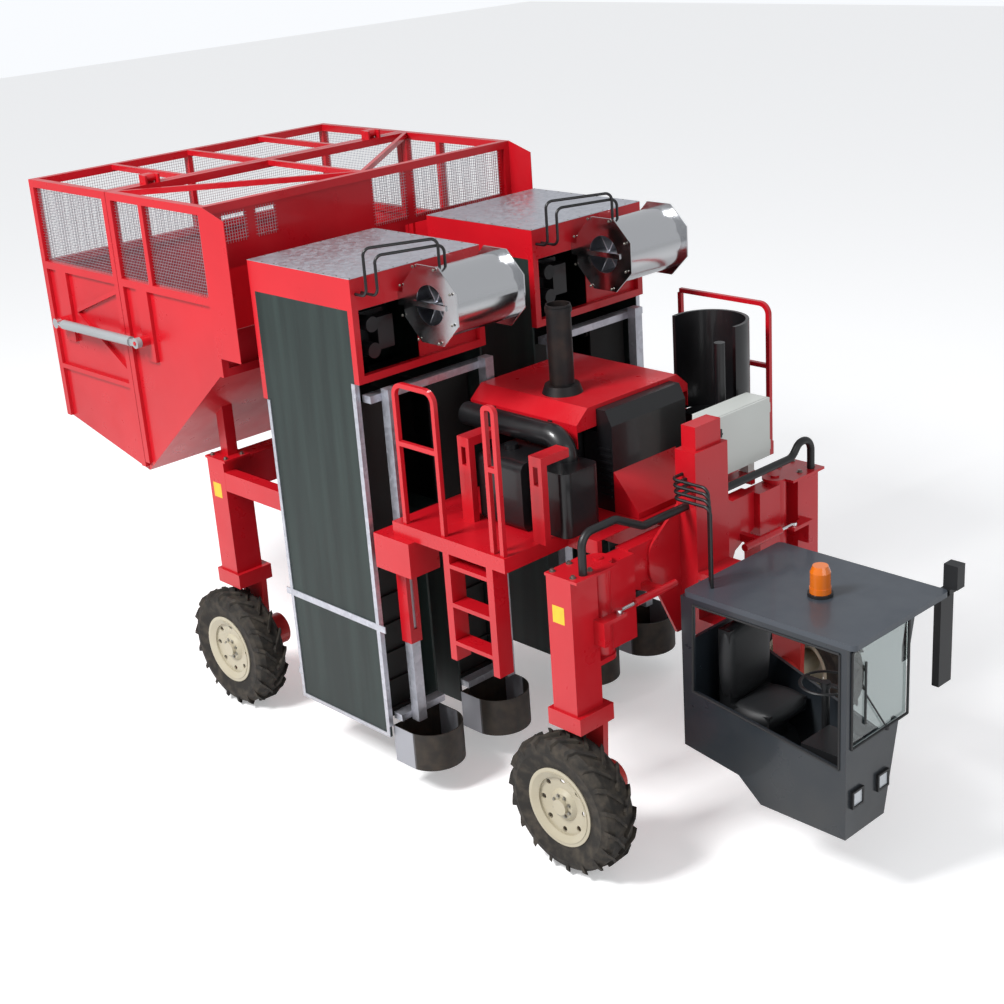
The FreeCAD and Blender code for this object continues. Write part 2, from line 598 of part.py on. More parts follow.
def steering_barrel(side_name, side):
    """A bored steering cylinder on a block at the beam's front face."""
    axis_x = z.AxleFront + z.SteerArm
    y0, y1 = side_span(side, z.SteerBarrelIn, z.SteerBarrelOut)
    body = rod(f"SteerTube_{side_name}", (axis_x, y0, z.SteerHigh), "Y", y1 - y0, z.SteerBarrel)
    y0, y1 = side_span(side, z.SteerBarrelIn + 150, z.SteerBarrelIn + 210)
    block = box(f"SteerBlock_{side_name}", (z.BeamBack + z.BeamLong - 1, y0, z.SteerHigh - z.SteerBarrel),
                (axis_x, y1, z.SteerHigh + z.SteerBarrel))
    y0, y1 = side_span(side, z.SteerBarrelIn + 90, z.SteerBarrelOut + 1)
    bore = rod(f"SteerBore_{side_name}", (axis_x, y0, z.SteerHigh), "Y", y1 - y0, z.SteerRod + z.RodGap)
    return cut(f"SteerCylinder_{side_name}", fuse(f"SteerBlank_{side_name}", [body, block]), [bore])


barrels = [steering_barrel(side_name, side) for side_name, side in SIDES]
node("front_crossbeam", fuse("FrontCrossbeam", [front_beam] + heads + barrels))

for side_name, side in SIDES:
    axis_x = z.AxleFront + z.SteerArm
    y0, y1 = side_span(side, z.KingpinOffset - z.SteerRodLong, z.KingpinOffset)
    bar = rod(f"SteerRodBar_{side_name}", (axis_x, y0, z.SteerHigh), "Y", y1 - y0, z.SteerRod)
    eye = rod(f"SteerRodEye_{side_name}", (axis_x, side * z.KingpinOffset, z.SteerHigh - z.RodEyeThick / 2),
              "Z", z.RodEyeThick, z.RodEye)
    node(f"steering_rod_{side_name}", fuse(f"SteeringRod_{side_name}", [bar, eye]))

rear_half = z.LegInner
rear_beam = box("RearBeam", (z.AxleRear - z.RearBeamLong / 2, -rear_half, z.BeamBase),
                (z.AxleRear + z.RearBeamLong / 2, rear_half, z.BeamTop))
spine = box("Spine", (z.AxleRear, -z.SpineHalf, z.SpineBase), (z.BeamBack, z.SpineHalf, z.SpineTop))
node("rear_frame", fuse("RearFrame", [rear_beam, spine]))

# Mast that carries the cab, with its bolted cap and the gusset at its foot

mast_back = z.BeamBack + z.BeamLong
mast_face = mast_back + z.MastLong
mast_box = box("MastBox", (mast_back, -z.MastHalf, z.MastBase), (mast_face, z.MastHalf, z.MastTop))
mast_cap = box("MastCap", (mast_back + 30, -z.CapHalf, z.MastTop),
               (mast_face - 30, z.CapHalf, z.MastTop + z.CapHigh))
gusset_outline = (
    (-z.MastHalf, z.GussetTop), (-z.GussetHalf, z.BeamTop - 60), (-z.GussetHalf, z.BeamBase + 40),
    (-z.MastHalf - 60, z.MastBase), (z.MastHalf + 60, z.MastBase), (z.GussetHalf, z.BeamBase + 40),
    (z.GussetHalf, z.BeamTop - 60), (z.MastHalf, z.GussetTop),
)
gusset_round = z.GussetHalf * 0.22
gusset = plate("Gusset", "YZ_Plane", gusset_outline, mast_back, mast_back + z.GussetThick,
               rounds={1: gusset_round, 2: gusset_round, 5: gusset_round, 6: gusset_round})
# Columns: name, foot, top of the two cross-members that bolt to the cab's back
hanger_rows = (("Upper", z.RoofTop - z.RoofThick - 60, z.RoofTop - z.RoofThick),
               ("Lower", z.MastBase, z.RearSill - 10))
hangers = []
for label, low, high in hanger_rows:
    hangers.append(box(f"Hanger{label}", (mast_face, -z.MastHalf, low), (z.CabBack, z.MastHalf, high)))
node("mast", fuse("Mast", [mast_box, mast_cap, gusset] + hangers))

# Deck on both sides of the engine, with its turned-down rim

deck_outline = (
    (z.DeckBack, -z.DeckHalf), (z.DeckFront, -z.DeckHalf), (z.DeckFront, -z.DeckNeckHalf),
    (z.DeckInnerFront, -z.DeckNeckHalf), (z.DeckInnerFront, z.DeckNeckHalf),
    (z.DeckFront, z.DeckNeckHalf), (z.DeckFront, z.DeckHalf), (z.DeckBack, z.DeckHalf),
)
deck_floor = plate("DeckFloor", "XY_Plane", deck_outline, z.DeckTop - z.DeckPlate, z.DeckTop)
rim_low = z.DeckTop - z.DeckRim
rim_high = z.DeckTop - z.DeckPlate
rim_wide = z.DeckPlate * 8
# Columns: name, back, right, front, left of each rail under the floor
deck_rails = (
    ("Right", z.DeckBack, -z.DeckHalf, z.DeckFront, -z.DeckHalf + rim_wide),
    ("Left", z.DeckBack, z.DeckHalf - rim_wide, z.DeckFront, z.DeckHalf),
    ("Back", z.DeckBack, -z.DeckHalf, z.DeckBack + rim_wide, z.DeckHalf),
    ("Front", z.DeckFront - rim_wide, -z.DeckHalf, z.DeckFront, z.DeckHalf),
    ("NeckRight", z.DeckFront, -z.DeckNeckHalf, z.DeckInnerFront, -z.DeckNeckHalf + rim_wide),
    ("NeckLeft", z.DeckFront, z.DeckNeckHalf - rim_wide, z.DeckInnerFront, z.DeckNeckHalf),
)
deck_parts = [deck_floor]
for label, back, right, front, left in deck_rails:
    deck_parts.append(box(f"DeckRail{label}", (back, right, rim_low), (front, left, rim_high)))
deck = fuse("Deck", deck_parts)

# Ladder under the deck's right edge

ladder_y0 = -z.DeckHalf
ladder_y1 = -z.DeckHalf + z.StileDeep
ladder_parts = []
for label, low, high in (("Back", z.LadderBack, z.LadderBack + z.StileWide),
                         ("Front", z.LadderFront - z.StileWide, z.LadderFront)):
    ladder_parts.append(box(f"Stile{label}", (low, ladder_y0, z.LadderBase), (high, ladder_y1, rim_low)))
for index in range(3):
    top = z.DeckTop - z.RungPitch * (index + 0.62)
    ladder_parts.append(box(f"Rung{index}", (z.LadderBack, ladder_y0, top - z.RungHigh),
                            (z.LadderFront, ladder_y1, top)))
ladder = fuse("Ladder", ladder_parts)

# Handrails

rail_y = -z.DeckHalf + z.RailTube
hoop = square_tube("RailHoop", (
    (z.RailBack, rail_y, z.DeckTop), (z.RailBack, rail_y, z.RailTop),
    (z.RailFront, rail_y, z.RailTop), (z.RailFront, rail_y, z.DeckTop),
), z.RailBend, z.RailTube)
half_tube = z.RailTube / 2
hoop_bar = box("RailHoopBar", (z.RailBack, rail_y - half_tube, z.RailMid - half_tube),
               (z.RailFront, rail_y + half_tube, z.RailMid + half_tube))
hairpin = square_tube("RailHairpin", (
    (z.HairpinBack - 60, rail_y, z.DeckTop), (z.HairpinBack - 60, rail_y, z.RailTop),
    (z.HairpinFront - 60, rail_y, z.RailTop), (z.HairpinFront - 60, rail_y, z.DeckTop),
), size(40), z.RailTube)
hairpin_bar = box("RailHairpinBar", (z.HairpinBack - 60, rail_y - half_tube, z.RailMid - half_tube),
                  (z.HairpinFront - 60, rail_y + half_tube, z.RailMid + half_tube))
far_y = z.DeckHalf - z.RailTube
far_hoop = square_tube("RailFar", (
    (z.FarRailBack, far_y, z.FarRailTop), (z.FarRailFront, far_y, z.FarRailTop),
    (z.FarRailFront, far_y, z.DeckTop),
), z.RailBend, z.RailTube)
far_bar = box("RailFarBar", (z.FarRailBack, far_y - half_tube, z.RailMid - half_tube),
              (z.FarRailFront, far_y + half_tube, z.RailMid + half_tube))
far_post = box("RailFarPost", (z.FarRailBack - half_tube, far_y - half_tube, z.DeckTop),
               (z.FarRailBack + half_tube, far_y + half_tube, z.FarRailTop - half_tube))
node("ladder_and_rails", group("LadderAndRails", [
    ladder, fuse("Hoop", [hoop, hoop_bar]), fuse("Hairpin", [hairpin, hairpin_bar]),
    fuse("FarRail", [far_hoop, far_bar, far_post]),
]))

# Engine: heavy block, red hood, black radiator housing, stack, air cleaner

node("engine_block", fuse("EngineBlock", [
    box("EngineMass", (z.EngineBack, -z.EngineHalf, z.DeckTop + z.EngineFeet),
        (z.EngineFront, z.EngineHalf, z.EngineTop)),
    box("EngineFootBack", (z.EngineBack + 60, -z.EngineHalf, z.DeckTop),
        (z.EngineBack + 160, z.EngineHalf, z.DeckTop + z.EngineFeet)),
    box("EngineFootFront", (z.EngineFront - 160, -z.EngineHalf, z.DeckTop),
        (z.EngineFront - 60, z.EngineHalf, z.DeckTop + z.EngineFeet)),
]))

hood_edge = z.HoodTop - z.HoodSlope
hood_outline = (
    (-z.HoodHalf, hood_edge - z.HoodSkirt), (-z.HoodHalf, hood_edge), (-z.HoodHalf + 130, z.HoodTop),
    (z.HoodHalf - 130, z.HoodTop), (z.HoodHalf, hood_edge), (z.HoodHalf, hood_edge - z.HoodSkirt),
    (z.HoodHalf - z.HoodSheet, hood_edge - z.HoodSkirt), (z.HoodHalf - z.HoodSheet, hood_edge - 3),
    (z.HoodHalf - 132, z.HoodTop - z.HoodSheet), (-z.HoodHalf + 132, z.HoodTop - z.HoodSheet),
    (-z.HoodHalf + z.HoodSheet, hood_edge - 3), (-z.HoodHalf + z.HoodSheet, hood_edge - z.HoodSkirt),
)
hood_shell = plate("HoodShell", "YZ_Plane", hood_outline, z.HoodBack, z.HoodFront)
front_lip = plate("HoodLip", "YZ_Plane", (
    (-z.HoodHalf, hood_edge - 60), (-z.HoodHalf, hood_edge), (-z.HoodHalf + 130, z.HoodTop),
    (z.HoodHalf - 130, z.HoodTop), (z.HoodHalf, hood_edge), (z.HoodHalf, hood_edge - 60),
), z.HoodFront - z.HoodSheet, z.HoodFront)
node("engine_hood", cut("EngineHood", fuse("HoodBlank", [hood_shell, front_lip]), [
    rod("HoodStackHole", (z.StackX, z.StackY, z.HoodTop - 150), "Z", size(200), z.StackRadius + 4),
]))

radiator_high = z.HoodTop - 30
radiator = plate("RadiatorHousing", "XZ_Plane", (
    (z.RadiatorBack, z.DeckTop), (z.RadiatorFront, z.DeckTop), (z.RadiatorFront, radiator_high - 120),
    (z.RadiatorFront - 60, radiator_high), (z.HoodFront + 2, radiator_high), (z.HoodFront + 2, z.RadiatorTop),
    (z.RadiatorBack, z.RadiatorTop),
), -z.RadiatorHalf, z.RadiatorHalf)
breather = rod("BreatherPipe", (z.PipeX, z.PipeY, z.DeckTop), "Z", z.PipeTop - z.DeckTop, z.PipeRadius)

stack_pipe = turned("StackPipe", (
    (z.StackRadius - z.StackWall, z.EngineTop), (z.StackRadius, z.EngineTop),
    (z.StackRadius, z.StackTop - 60), (z.StackRadius + 8, z.StackTop - 60),
    (z.StackRadius + 8, z.StackTop - 20), (z.StackRadius, z.StackTop - 20),
    (z.StackRadius, z.StackTop), (z.StackRadius - z.StackWall, z.StackTop),
), (z.StackX, z.StackY, size(0)), "Z")
collar = turned("StackCollar", (
    (z.StackRadius - z.StackWall, z.HoodTop), (z.CollarRadius, z.HoodTop),
    (z.CollarRadius - 25, z.HoodTop + z.CollarHigh), (z.StackRadius - z.StackWall, z.HoodTop + z.CollarHigh),
), (z.StackX, z.StackY, size(0)), "Z")
node("exhaust_stack", fuse("ExhaustStack", [stack_pipe, collar]))

cleaner_can = tube("CleanerCan", (
    (z.CleanerBack, z.CleanerY, z.CleanerHigh), (z.CleanerFront + 200, z.CleanerY, z.CleanerHigh),
    (z.CleanerFront + 200, z.CleanerY, z.OilTop),
), z.CleanerBend, z.CleanerRadius)

# Tanks on the right of the engine, the red pillars beside them

fuel_body = plate("FuelBody", "YZ_Plane", (
    (z.TankOuter, z.DeckTop), (z.TankOuter, z.TankTop), (z.TankInner, z.TankTop), (z.TankInner, z.DeckTop),
), z.TankBack, z.TankFront, rounds={0: z.TankRound, 1: z.TankRound, 2: z.TankRound, 3: z.TankRound})
fuel_cap = rod("FuelCap", ((z.TankBack + z.TankFront) / 2 - 100, (z.TankOuter + z.TankInner) / 2, z.TankTop - 2),
               "Z", size(42), z.CapRadius)
fuel_tank = fuse("FuelTank", [fuel_body, fuel_cap])
oil_tank = plate("OilTank", "XY_Plane", (
    (z.OilBack, z.OilOuter), (z.OilFront, z.OilOuter), (z.OilFront, z.OilInner), (z.OilBack, z.OilInner),
), z.DeckTop, z.OilTop, rounds={0: z.TankRound, 1: z.TankRound, 2: z.TankRound, 3: z.TankRound})
node("tanks", group("Tanks", [fuel_tank, oil_tank]))


def tank_bracket(label, front_x):
    """A slotted pillar with an arm turned in over the tank."""
    back = front_x - z.BracketWide
    pillar = box(f"Pillar{label}", (back, z.BracketY, z.DeckTop), (front_x, z.BracketY + z.BracketDeep, z.BracketTop))
    arm = box(f"PillarArm{label}", (back, z.BracketY, z.BracketTop - 70),
              (front_x, z.BracketY + z.BracketArm, z.BracketTop))
    slot = box(f"PillarSlot{label}", (back + 40, z.BracketY - 5, z.BracketTop - 80 - z.BracketSlot),
               (front_x - 40, z.BracketY + z.BracketDeep + 5, z.BracketTop - 80))
    return cut(f"TankBracket{label}", fuse(f"TankBracketBlank{label}", [pillar, arm]), [slot])


slope_plate = plate("SlopePlate", "XZ_Plane", (
    (z.RadiatorFront + 2, z.DeckTop), (z.SlopeFront, z.DeckTop), (z.SlopeFront, z.DeckTop + 50),
    (z.RadiatorFront + 2, z.SlopeTop),
), -z.RadiatorHalf, z.CabinetRight - 20)
node("deck", fuse("DeckSet", [deck, slope_plate, tank_bracket("A", z.TankBack - 1), tank_bracket("B", z.OilFront - 60)]))

# Curved shroud and breather pipe on the left of the engine

shroud_ring = turned("ShroudRing", (
    (z.ShroudRadius - z.ShroudWall, z.ShroudBase), (z.ShroudRadius, z.ShroudBase),
    (z.ShroudRadius, z.ShroudTop), (z.ShroudRadius - z.ShroudWall, z.ShroudTop),
), (z.ShroudX, z.ShroudY, size(0)), "Z")
shroud_half = cut("ShroudHalf", shroud_ring, [
    box("ShroudOpen", (z.ShroudX - 400, z.ShroudY - 400, z.ShroudBase - 10),
        (z.ShroudX + 400, z.ShroudY - 60, z.ShroudTop + 10)),
])
shroud_foot = box("ShroudFoot", (z.ShroudX - 290, z.ShroudY - 60, z.DeckTop),
                  (z.ShroudX + 10, z.ShroudY + 280, z.ShroudBase))
hood_stands = []
for label, back in (("Back", z.HoodBack + 20), ("Front", z.EngineFront + 10)):
    hood_stands.append(box(f"HoodStand{label}", (back, -z.HoodHalf + 140, z.DeckTop),
                           (back + 25, z.HoodHalf - 140, z.HoodTop - z.HoodSheet)))
node("engine_surround", group("EngineSurround", hood_stands + [radiator, breather, cleaner_can, fuse("SideShroud", [shroud_half, shroud_foot])]))

# Grey cabinet with its door

cab_box = box("CabinetOuter", (z.CabinetBack, z.CabinetRight, z.CabinetBase),
              (z.CabinetFront - z.CabinetDoor - z.DoorGap, z.CabinetLeft, z.CabinetTop))
cab_hollow = box("CabinetHollow", (z.CabinetBack + z.CabinetWall, z.CabinetRight + z.CabinetWall,
                                   z.CabinetBase + z.CabinetWall),
                 (z.CabinetFront, z.CabinetLeft - z.CabinetWall, z.CabinetTop - z.CabinetWall))
cabinet_shell = cut("CabinetShell", cab_box, [cab_hollow])
cabinet_feet = []
for label, right in (("Right", z.CabinetRight + 60), ("Left", z.CabinetLeft - 140)):
    cabinet_feet.append(box(f"CabinetFoot{label}", (z.CabinetBack + 20, right, z.DeckTop),
                            (z.DeckInnerFront, right + 80, z.CabinetBase)))
hinge_x = z.CabinetFront - z.CabinetDoor + 6
hinge_y = z.CabinetLeft + z.HingeRadius + 2
hinge_long = size(60)
cabinet_hinges = []
door_tubes = []
for label, foot in (("Low", z.CabinetBase + 60), ("High", z.CabinetTop - 120)):
    cabinet_hinges.append(rod(f"HingePin{label}", (hinge_x, hinge_y, foot - 12), "Z", hinge_long + 24, z.HingePin))
    for end, plate_foot in (("Below", foot - 12), ("Above", foot + hinge_long + 1)):
        cabinet_hinges.append(box(f"HingePlate{label}{end}", (hinge_x - 32, z.CabinetLeft, plate_foot),
                                  (hinge_x + 6, hinge_y + 6, plate_foot + 11)))
    door_tubes.append(rod(f"HingeTube{label}", (hinge_x, hinge_y, foot), "Z", hinge_long, z.HingeRadius))
    door_tubes.append(box(f"HingeEar{label}", (hinge_x - 5, z.CabinetLeft - 5, foot), (hinge_x + 5, hinge_y, foot + hinge_long)))
door_leaf = box("CabinetDoorLeaf", (z.CabinetFront - z.CabinetDoor, z.CabinetRight, z.CabinetBase),
                (z.CabinetFront, z.CabinetLeft - 2, z.CabinetTop))
hinge_bore = rod("HingeBore", (hinge_x, hinge_y, z.CabinetBase), "Z", z.CabinetTop - z.CabinetBase, z.HingePin + z.PinGap)
node("service_cabinet", fuse("ServiceCabinet", [cabinet_shell] + cabinet_feet + cabinet_hinges))
node("cabinet_door", cut("CabinetDoor", fuse("CabinetDoorBlank", [door_leaf] + door_tubes), [hinge_bore]))

# Cab: tub with nose, floor, sills and posts, open at the right, slanted at the left

cab_side = (
    (z.CabBack, z.RoofTop - z.RoofThick), (z.CabBack, z.FloorBack),
    (z.StepX, z.FloorStep), (z.FloorLowBack, z.FloorLow), (z.CabFront, z.FloorLow),
    (z.CabFront, z.RoofTop - z.RoofThick),
)
cab_block = plate("CabBlock", "XZ_Plane", cab_side, z.CabRight, z.CabLeft)
sheet_in = z.CabSheet
cab_inside = (
    (z.CabBack + sheet_in, z.RoofTop), (z.CabBack + sheet_in, z.FloorBack + sheet_in),
    (z.StepX, z.FloorBack + sheet_in),
    (z.FloorLowBack + 12, z.FloorLow + sheet_in), (z.CabFront - sheet_in, z.FloorLow + sheet_in),
    (z.CabFront - sheet_in, z.RoofTop),
)
cab_hollow_block = plate("CabHollow", "XZ_Plane", cab_inside, z.CabRight + sheet_in, z.CabLeft - sheet_in)


def slant(name, inset):
    """A large block whose right face is the cab's slanted left side, set in by inset."""
    block = doc.addObject("Part::Box", name)
    for side, long in (("Length", 3000), ("Width", 900), ("Height", 3000)):
        bind(block, side, size(long))
    turn = FreeCAD.Rotation(Z_AXIS, -z.CabTaper.number).multiply(FreeCAD.Rotation(X_AXIS, -z.CabLean.number))
    hinge = FreeCAD.Vector(z.CabBack.number, z.CabLeft.number - inset.number, z.RoofTop.number)
    start = hinge + turn.multVec(FreeCAD.Vector(-500, 0, -2500))
    block.Placement = FreeCAD.Placement(start, turn)
    return block


cab_windows = [
    plate("SideWindow", "XZ_Plane", (
        (z.CabBack + z.PostWide + 40, z.SillBack), (z.CabFront - z.PostWide, z.SillFront),
        (z.CabFront - z.PostWide, z.RoofTop - z.RoofThick - 50),
        (z.CabBack + z.PostWide + 60, z.RoofTop - z.RoofThick - 50),
    ), z.CabRight - 50, z.CabLeft + 50),
    box("RearWindow", (z.CabBack - 50, z.CabRight + 90, z.RearSill),
        (z.CabBack + 150, z.CabLeft - 90, z.RoofTop - z.RoofThick - 60)),
]
cab_shell = cut("CabShell", cut("CabTub", cab_block, [slant("SlantOuter", size(0))]),
                [cut("CabRoom", cab_hollow_block, [slant("SlantInner", sheet_in)])])
screen_left = z.CabLeft - 330
screen_cut = box("ScreenCut", (z.CabFront - 60, z.CabRight + z.PostWide, z.ScreenBase),
                 (z.CabFront + 60, screen_left - 60, z.RoofTop - z.RoofThick - 40))
node("cab_shell", cut("CabShellOpen", cab_shell, cab_windows + [screen_cut]))

node("cab_roof", plate("CabRoof", "XY_Plane", (
    (z.RoofBack, -z.RoofHalf), (z.RoofFront, -z.RoofHalf), (z.RoofFront, z.RoofHalf), (z.RoofBack, z.RoofHalf),
), z.RoofTop - z.RoofThick, z.RoofTop, rounds={0: z.RoofThick, 1: z.RoofThick, 2: z.RoofThick, 3: z.RoofThick}))

node("windscreen", box("Windscreen", (z.CabFront - 20, z.CabRight + z.PostWide + 0.5, z.ScreenBase + 0.5),
                       (z.CabFront - 20 + z.GlassThick, screen_left - 60.5, z.RoofTop - z.RoofThick - 40.5)))

beacon_foot = rod("BeaconFoot", (z.BeaconX, z.BeaconY, z.RoofTop), "Z", z.BeaconFoot, z.BeaconRadius * 1.05)
beacon_dome = turned("BeaconDome", (
    (size(0), z.BeaconFoot), (z.BeaconRadius, z.BeaconFoot), (z.BeaconRadius, z.BeaconFoot + z.BeaconHigh * 0.7),
    (z.BeaconRadius * 0.75, z.BeaconFoot + z.BeaconHigh), (size(0), z.BeaconFoot + z.BeaconHigh),
), (z.BeaconX, z.BeaconY, z.RoofTop), "Z")
node("beacon", fuse("Beacon", [beacon_foot, beacon_dome]))

lamps = []
for label, lamp_y in (("Right", z.LampRight), ("Left", z.LampLeft)):
    half = z.LampSize / 2
    lamps.append(box(f"Lamp{label}", (z.CabFront, lamp_y - half, z.LampHigh - half),
                     (z.CabFront + z.LampDeep, lamp_y + half, z.LampHigh + half)))
node("head_lamps", group("HeadLamps", lamps))

seat_half = z.SeatWide / 2
seat_y = z.CabRight + 480
seat_base = box("SeatBase", (z.SeatX - 140, seat_y - 140, z.FloorBack + sheet_in),
                (z.SeatX + 140, seat_y + 140, z.SeatHigh - z.SeatThick))
seat_pan = box("SeatPan", (z.SeatX - seat_half, seat_y - seat_half, z.SeatHigh - z.SeatThick),
               (z.SeatX + seat_half, seat_y + seat_half, z.SeatHigh))
seat_back = box("SeatBack", (z.SeatX - seat_half, seat_y - seat_half, z.SeatHigh),
                (z.SeatX - seat_half + z.SeatThick, seat_y + seat_half, z.SeatHigh + z.BackHigh))
seat = fuse("Seat", [seat_base, seat_pan, seat_back])

column = rod("SteerColumn", (z.WheelRingX, seat_y, z.FloorLow + sheet_in), "Z",
             z.WheelRingHigh - 20 - z.FloorLow - sheet_in, z.ColumnRadius)
console = box("Console", (z.WheelRingX + 60, z.CabRight + 90, z.FloorLow + sheet_in),
              (z.CabFront - 90, z.CabRight + 440, z.ScreenBase - 120))
console_set = fuse("ConsoleSet", [console, column])
ring_round = z.WheelRingTube / 2
ring = turned("RingTube", (
    (z.WheelRingRadius - z.WheelRingTube, size(0)), (z.WheelRingRadius - ring_round, ring_round),
    (z.WheelRingRadius + ring_round, ring_round), (z.WheelRingRadius + z.WheelRingTube, size(0)),
    (z.WheelRingRadius + ring_round, -ring_round), (z.WheelRingRadius - ring_round, -ring_round),
), (z.WheelRingX, seat_y, z.WheelRingHigh + 15), "Z")
spokes = box("RingSpoke", (z.WheelRingX - z.WheelRingRadius, seat_y - 20, z.WheelRingHigh + 5),
             (z.WheelRingX + z.WheelRingRadius, seat_y + 20, z.WheelRingHigh + 20))
boss = rod("RingBoss", (z.WheelRingX, seat_y, z.WheelRingHigh - 20), "Z", size(46), z.ColumnRadius * 1.3)
steering_wheel = fuse("SteeringWheel", [ring, spokes, boss])
node("operator_station", group("OperatorStation", [seat, console_set, steering_wheel]))

mirror_x = z.RoofFront - 60
mirror_arm = box("MirrorArm", (mirror_x - 20, z.RoofHalf, z.RoofTop - 40), (mirror_x + 60, z.RoofHalf + 90, z.RoofTop))
mirror_head = box("MirrorHead", (mirror_x - 20, z.RoofHalf - z.MirrorWide + 90, z.RoofTop - 60 - z.MirrorHigh),
                  (mirror_x - 20 + z.MirrorDeep, z.RoofHalf + 90, z.RoofTop - 60))
mirror_stem = box("MirrorStem", (mirror_x - 10, z.RoofHalf + 30, z.RoofTop - 60), (mirror_x + 20, z.RoofHalf + 60, z.RoofTop - 40))
lamp_box = box("CornerLamp", (mirror_x - 10, z.RoofHalf + 20, z.RoofTop), (z.RoofFront + 49, z.RoofHalf + 120, z.RoofTop + 190))
node("mirror_bracket", fuse("MirrorBracket", [mirror_arm, mirror_head, mirror_stem, lamp_box]))

# Picking units. One is built at the right side and copied to the left by the row spacing.

unit_right = -z.UnitOuter
unit_left = -z.UnitInner
band_base = z.UnitTop - z.BandHigh


def unit_frame():
    """The red band, posts and lower front rail."""
    band = cut("UnitBand", box("UnitBandOuter", (z.UnitBack, unit_right, band_base),
                               (z.UnitFront, unit_left, z.UnitTop - z.TopSheet)),
               [box("UnitBandHollow", (z.UnitBack + z.BandSheet, unit_right + z.BandSheet, band_base - 5),
                    (z.UnitFront - z.BandSheet, unit_left - z.BandSheet, z.UnitTop))])
    # Columns: name, back edge, right edge, foot
    posts = (
        ("FrontRight", z.UnitFront - z.UnitPost, unit_right, z.FrontPostBase),
        ("FrontLeft", z.UnitFront - z.UnitPost, unit_left - z.UnitPost, z.FrontPostBase),
        ("BackRight", z.UnitBack, unit_right, z.RearPostBase),
        ("BackLeft", z.UnitBack, unit_left - z.UnitPost, z.RearPostBase),
    )
    parts = [band]
    for label, back, right, foot in posts:
        parts.append(box(f"UnitPost{label}", (back, right, foot),
                         (back + z.UnitPost, right + z.UnitPost, band_base + 100)))
    parts.append(box("UnitFrontRail", (z.UnitFront - z.UnitPost, unit_right, z.FrontPostBase),
                     (z.UnitFront, unit_left, z.FrontPostBase + z.UnitPost)))
    parts.append(box("UnitFrontPlate", (z.UnitFront - z.UnitPost, (unit_right + unit_left) / 2, z.FrontPostBase),
                     (z.UnitFront - z.UnitPost + z.BandSheet, unit_left, band_base + 20)))
    return fuse("UnitFrame", parts)


def unit_skins():
    """The dark walls: a hooped shell over the row tunnel, hollow legs on both sides of it."""
    skin = z.SkinThick
    skin_front = z.UnitFront - z.UnitPost
    skin_back = z.UnitBack + z.UnitPost
    top = band_base
    right = unit_right
    left = unit_left
    arch = (
        (right, z.SkinBase), (-z.TunnelOuter, z.SkinBase), (-z.TunnelOuter, z.TunnelTop),
        (-z.TunnelInner, z.TunnelTop), (-z.TunnelInner, z.SkinBase), (left, z.SkinBase),
        (left, top), (right, top),
    )
    block = plate("UnitArch", "YZ_Plane", arch, skin_back, skin_front)
    hollows = []
    for label, low, high in (("Outer", right + skin, -z.TunnelOuter - skin),
                             ("Inner", -z.TunnelInner + skin, left - skin)):
        hollows.append(box(f"UnitLegHollow{label}", (skin_back + skin, low, z.SkinBase - 5),
                           (skin_front + 5, high, z.TunnelTop)))
    hollows.append(box("UnitHeadHollow", (skin_back + skin, right + skin, z.TunnelTop + skin),
                       (skin_front + 5, left - skin, top - skin)))
    for label, low, high in (("Outer", right + skin, -z.TunnelOuter - skin),
                             ("Inner", -z.TunnelInner + skin, left - skin)):
        hollows.append(box(f"UnitThroat{label}", (skin_back + skin, low, z.TunnelTop - 5),
                           (skin_front + 5, high, z.TunnelTop + skin + 5)))
    return cut("UnitSkins", block, hollows)


def unit_belts():
    """The lifting belts inside the hollow legs, with slats on their front runs."""
    loops = []
    for label, low, high in (("Outer", unit_right + z.SkinThick + z.BeltGap, -z.TunnelOuter - z.SkinThick - z.BeltGap),
                             ("Inner", -z.TunnelInner + z.SkinThick + z.BeltGap, unit_left - z.SkinThick - z.BeltGap)):
        whole = box(f"Belt{label}", (z.BeltBack, low, z.SkinBase + 80), (z.BeltFront, high, z.BeltTop))
        hollow = box(f"BeltHollow{label}", (z.BeltBack + z.BeltThick, low - 5, z.SkinBase + 80 + z.BeltThick),
                     (z.BeltFront - z.BeltThick, high + 5, z.BeltTop - z.BeltThick))
        parts = [cut(f"BeltRun{label}", whole, [hollow])]
        roller = z.BeltThick * 2
        for end, foot in (("Low", z.SkinBase + 80 + z.BeltThick + roller), ("High", z.BeltTop - z.BeltThick - roller)):
            parts.append(rod(f"Roller{label}{end}", (z.BeltFront - z.BeltThick - roller, low - z.BeltGap, foot),
                             "Y", high - low + z.BeltGap * 2, roller + 1))
        for index in range(int(z.SlatCount.number)):
            foot = z.SkinBase + 160 + z.SlatPitch * index
            parts.append(box(f"Slat{label}{index}", (z.BeltFront, low, foot),
                             (z.BeltFront + z.SlatDeep, high, foot + z.SlatHigh)))
        loops.append(fuse(f"BeltLoop{label}", parts))
    return group("UnitBelts", loops)


node("unit_frame_right", unit_frame())
node("unit_skins_right", unit_skins())
node("unit_belts_right", unit_belts())

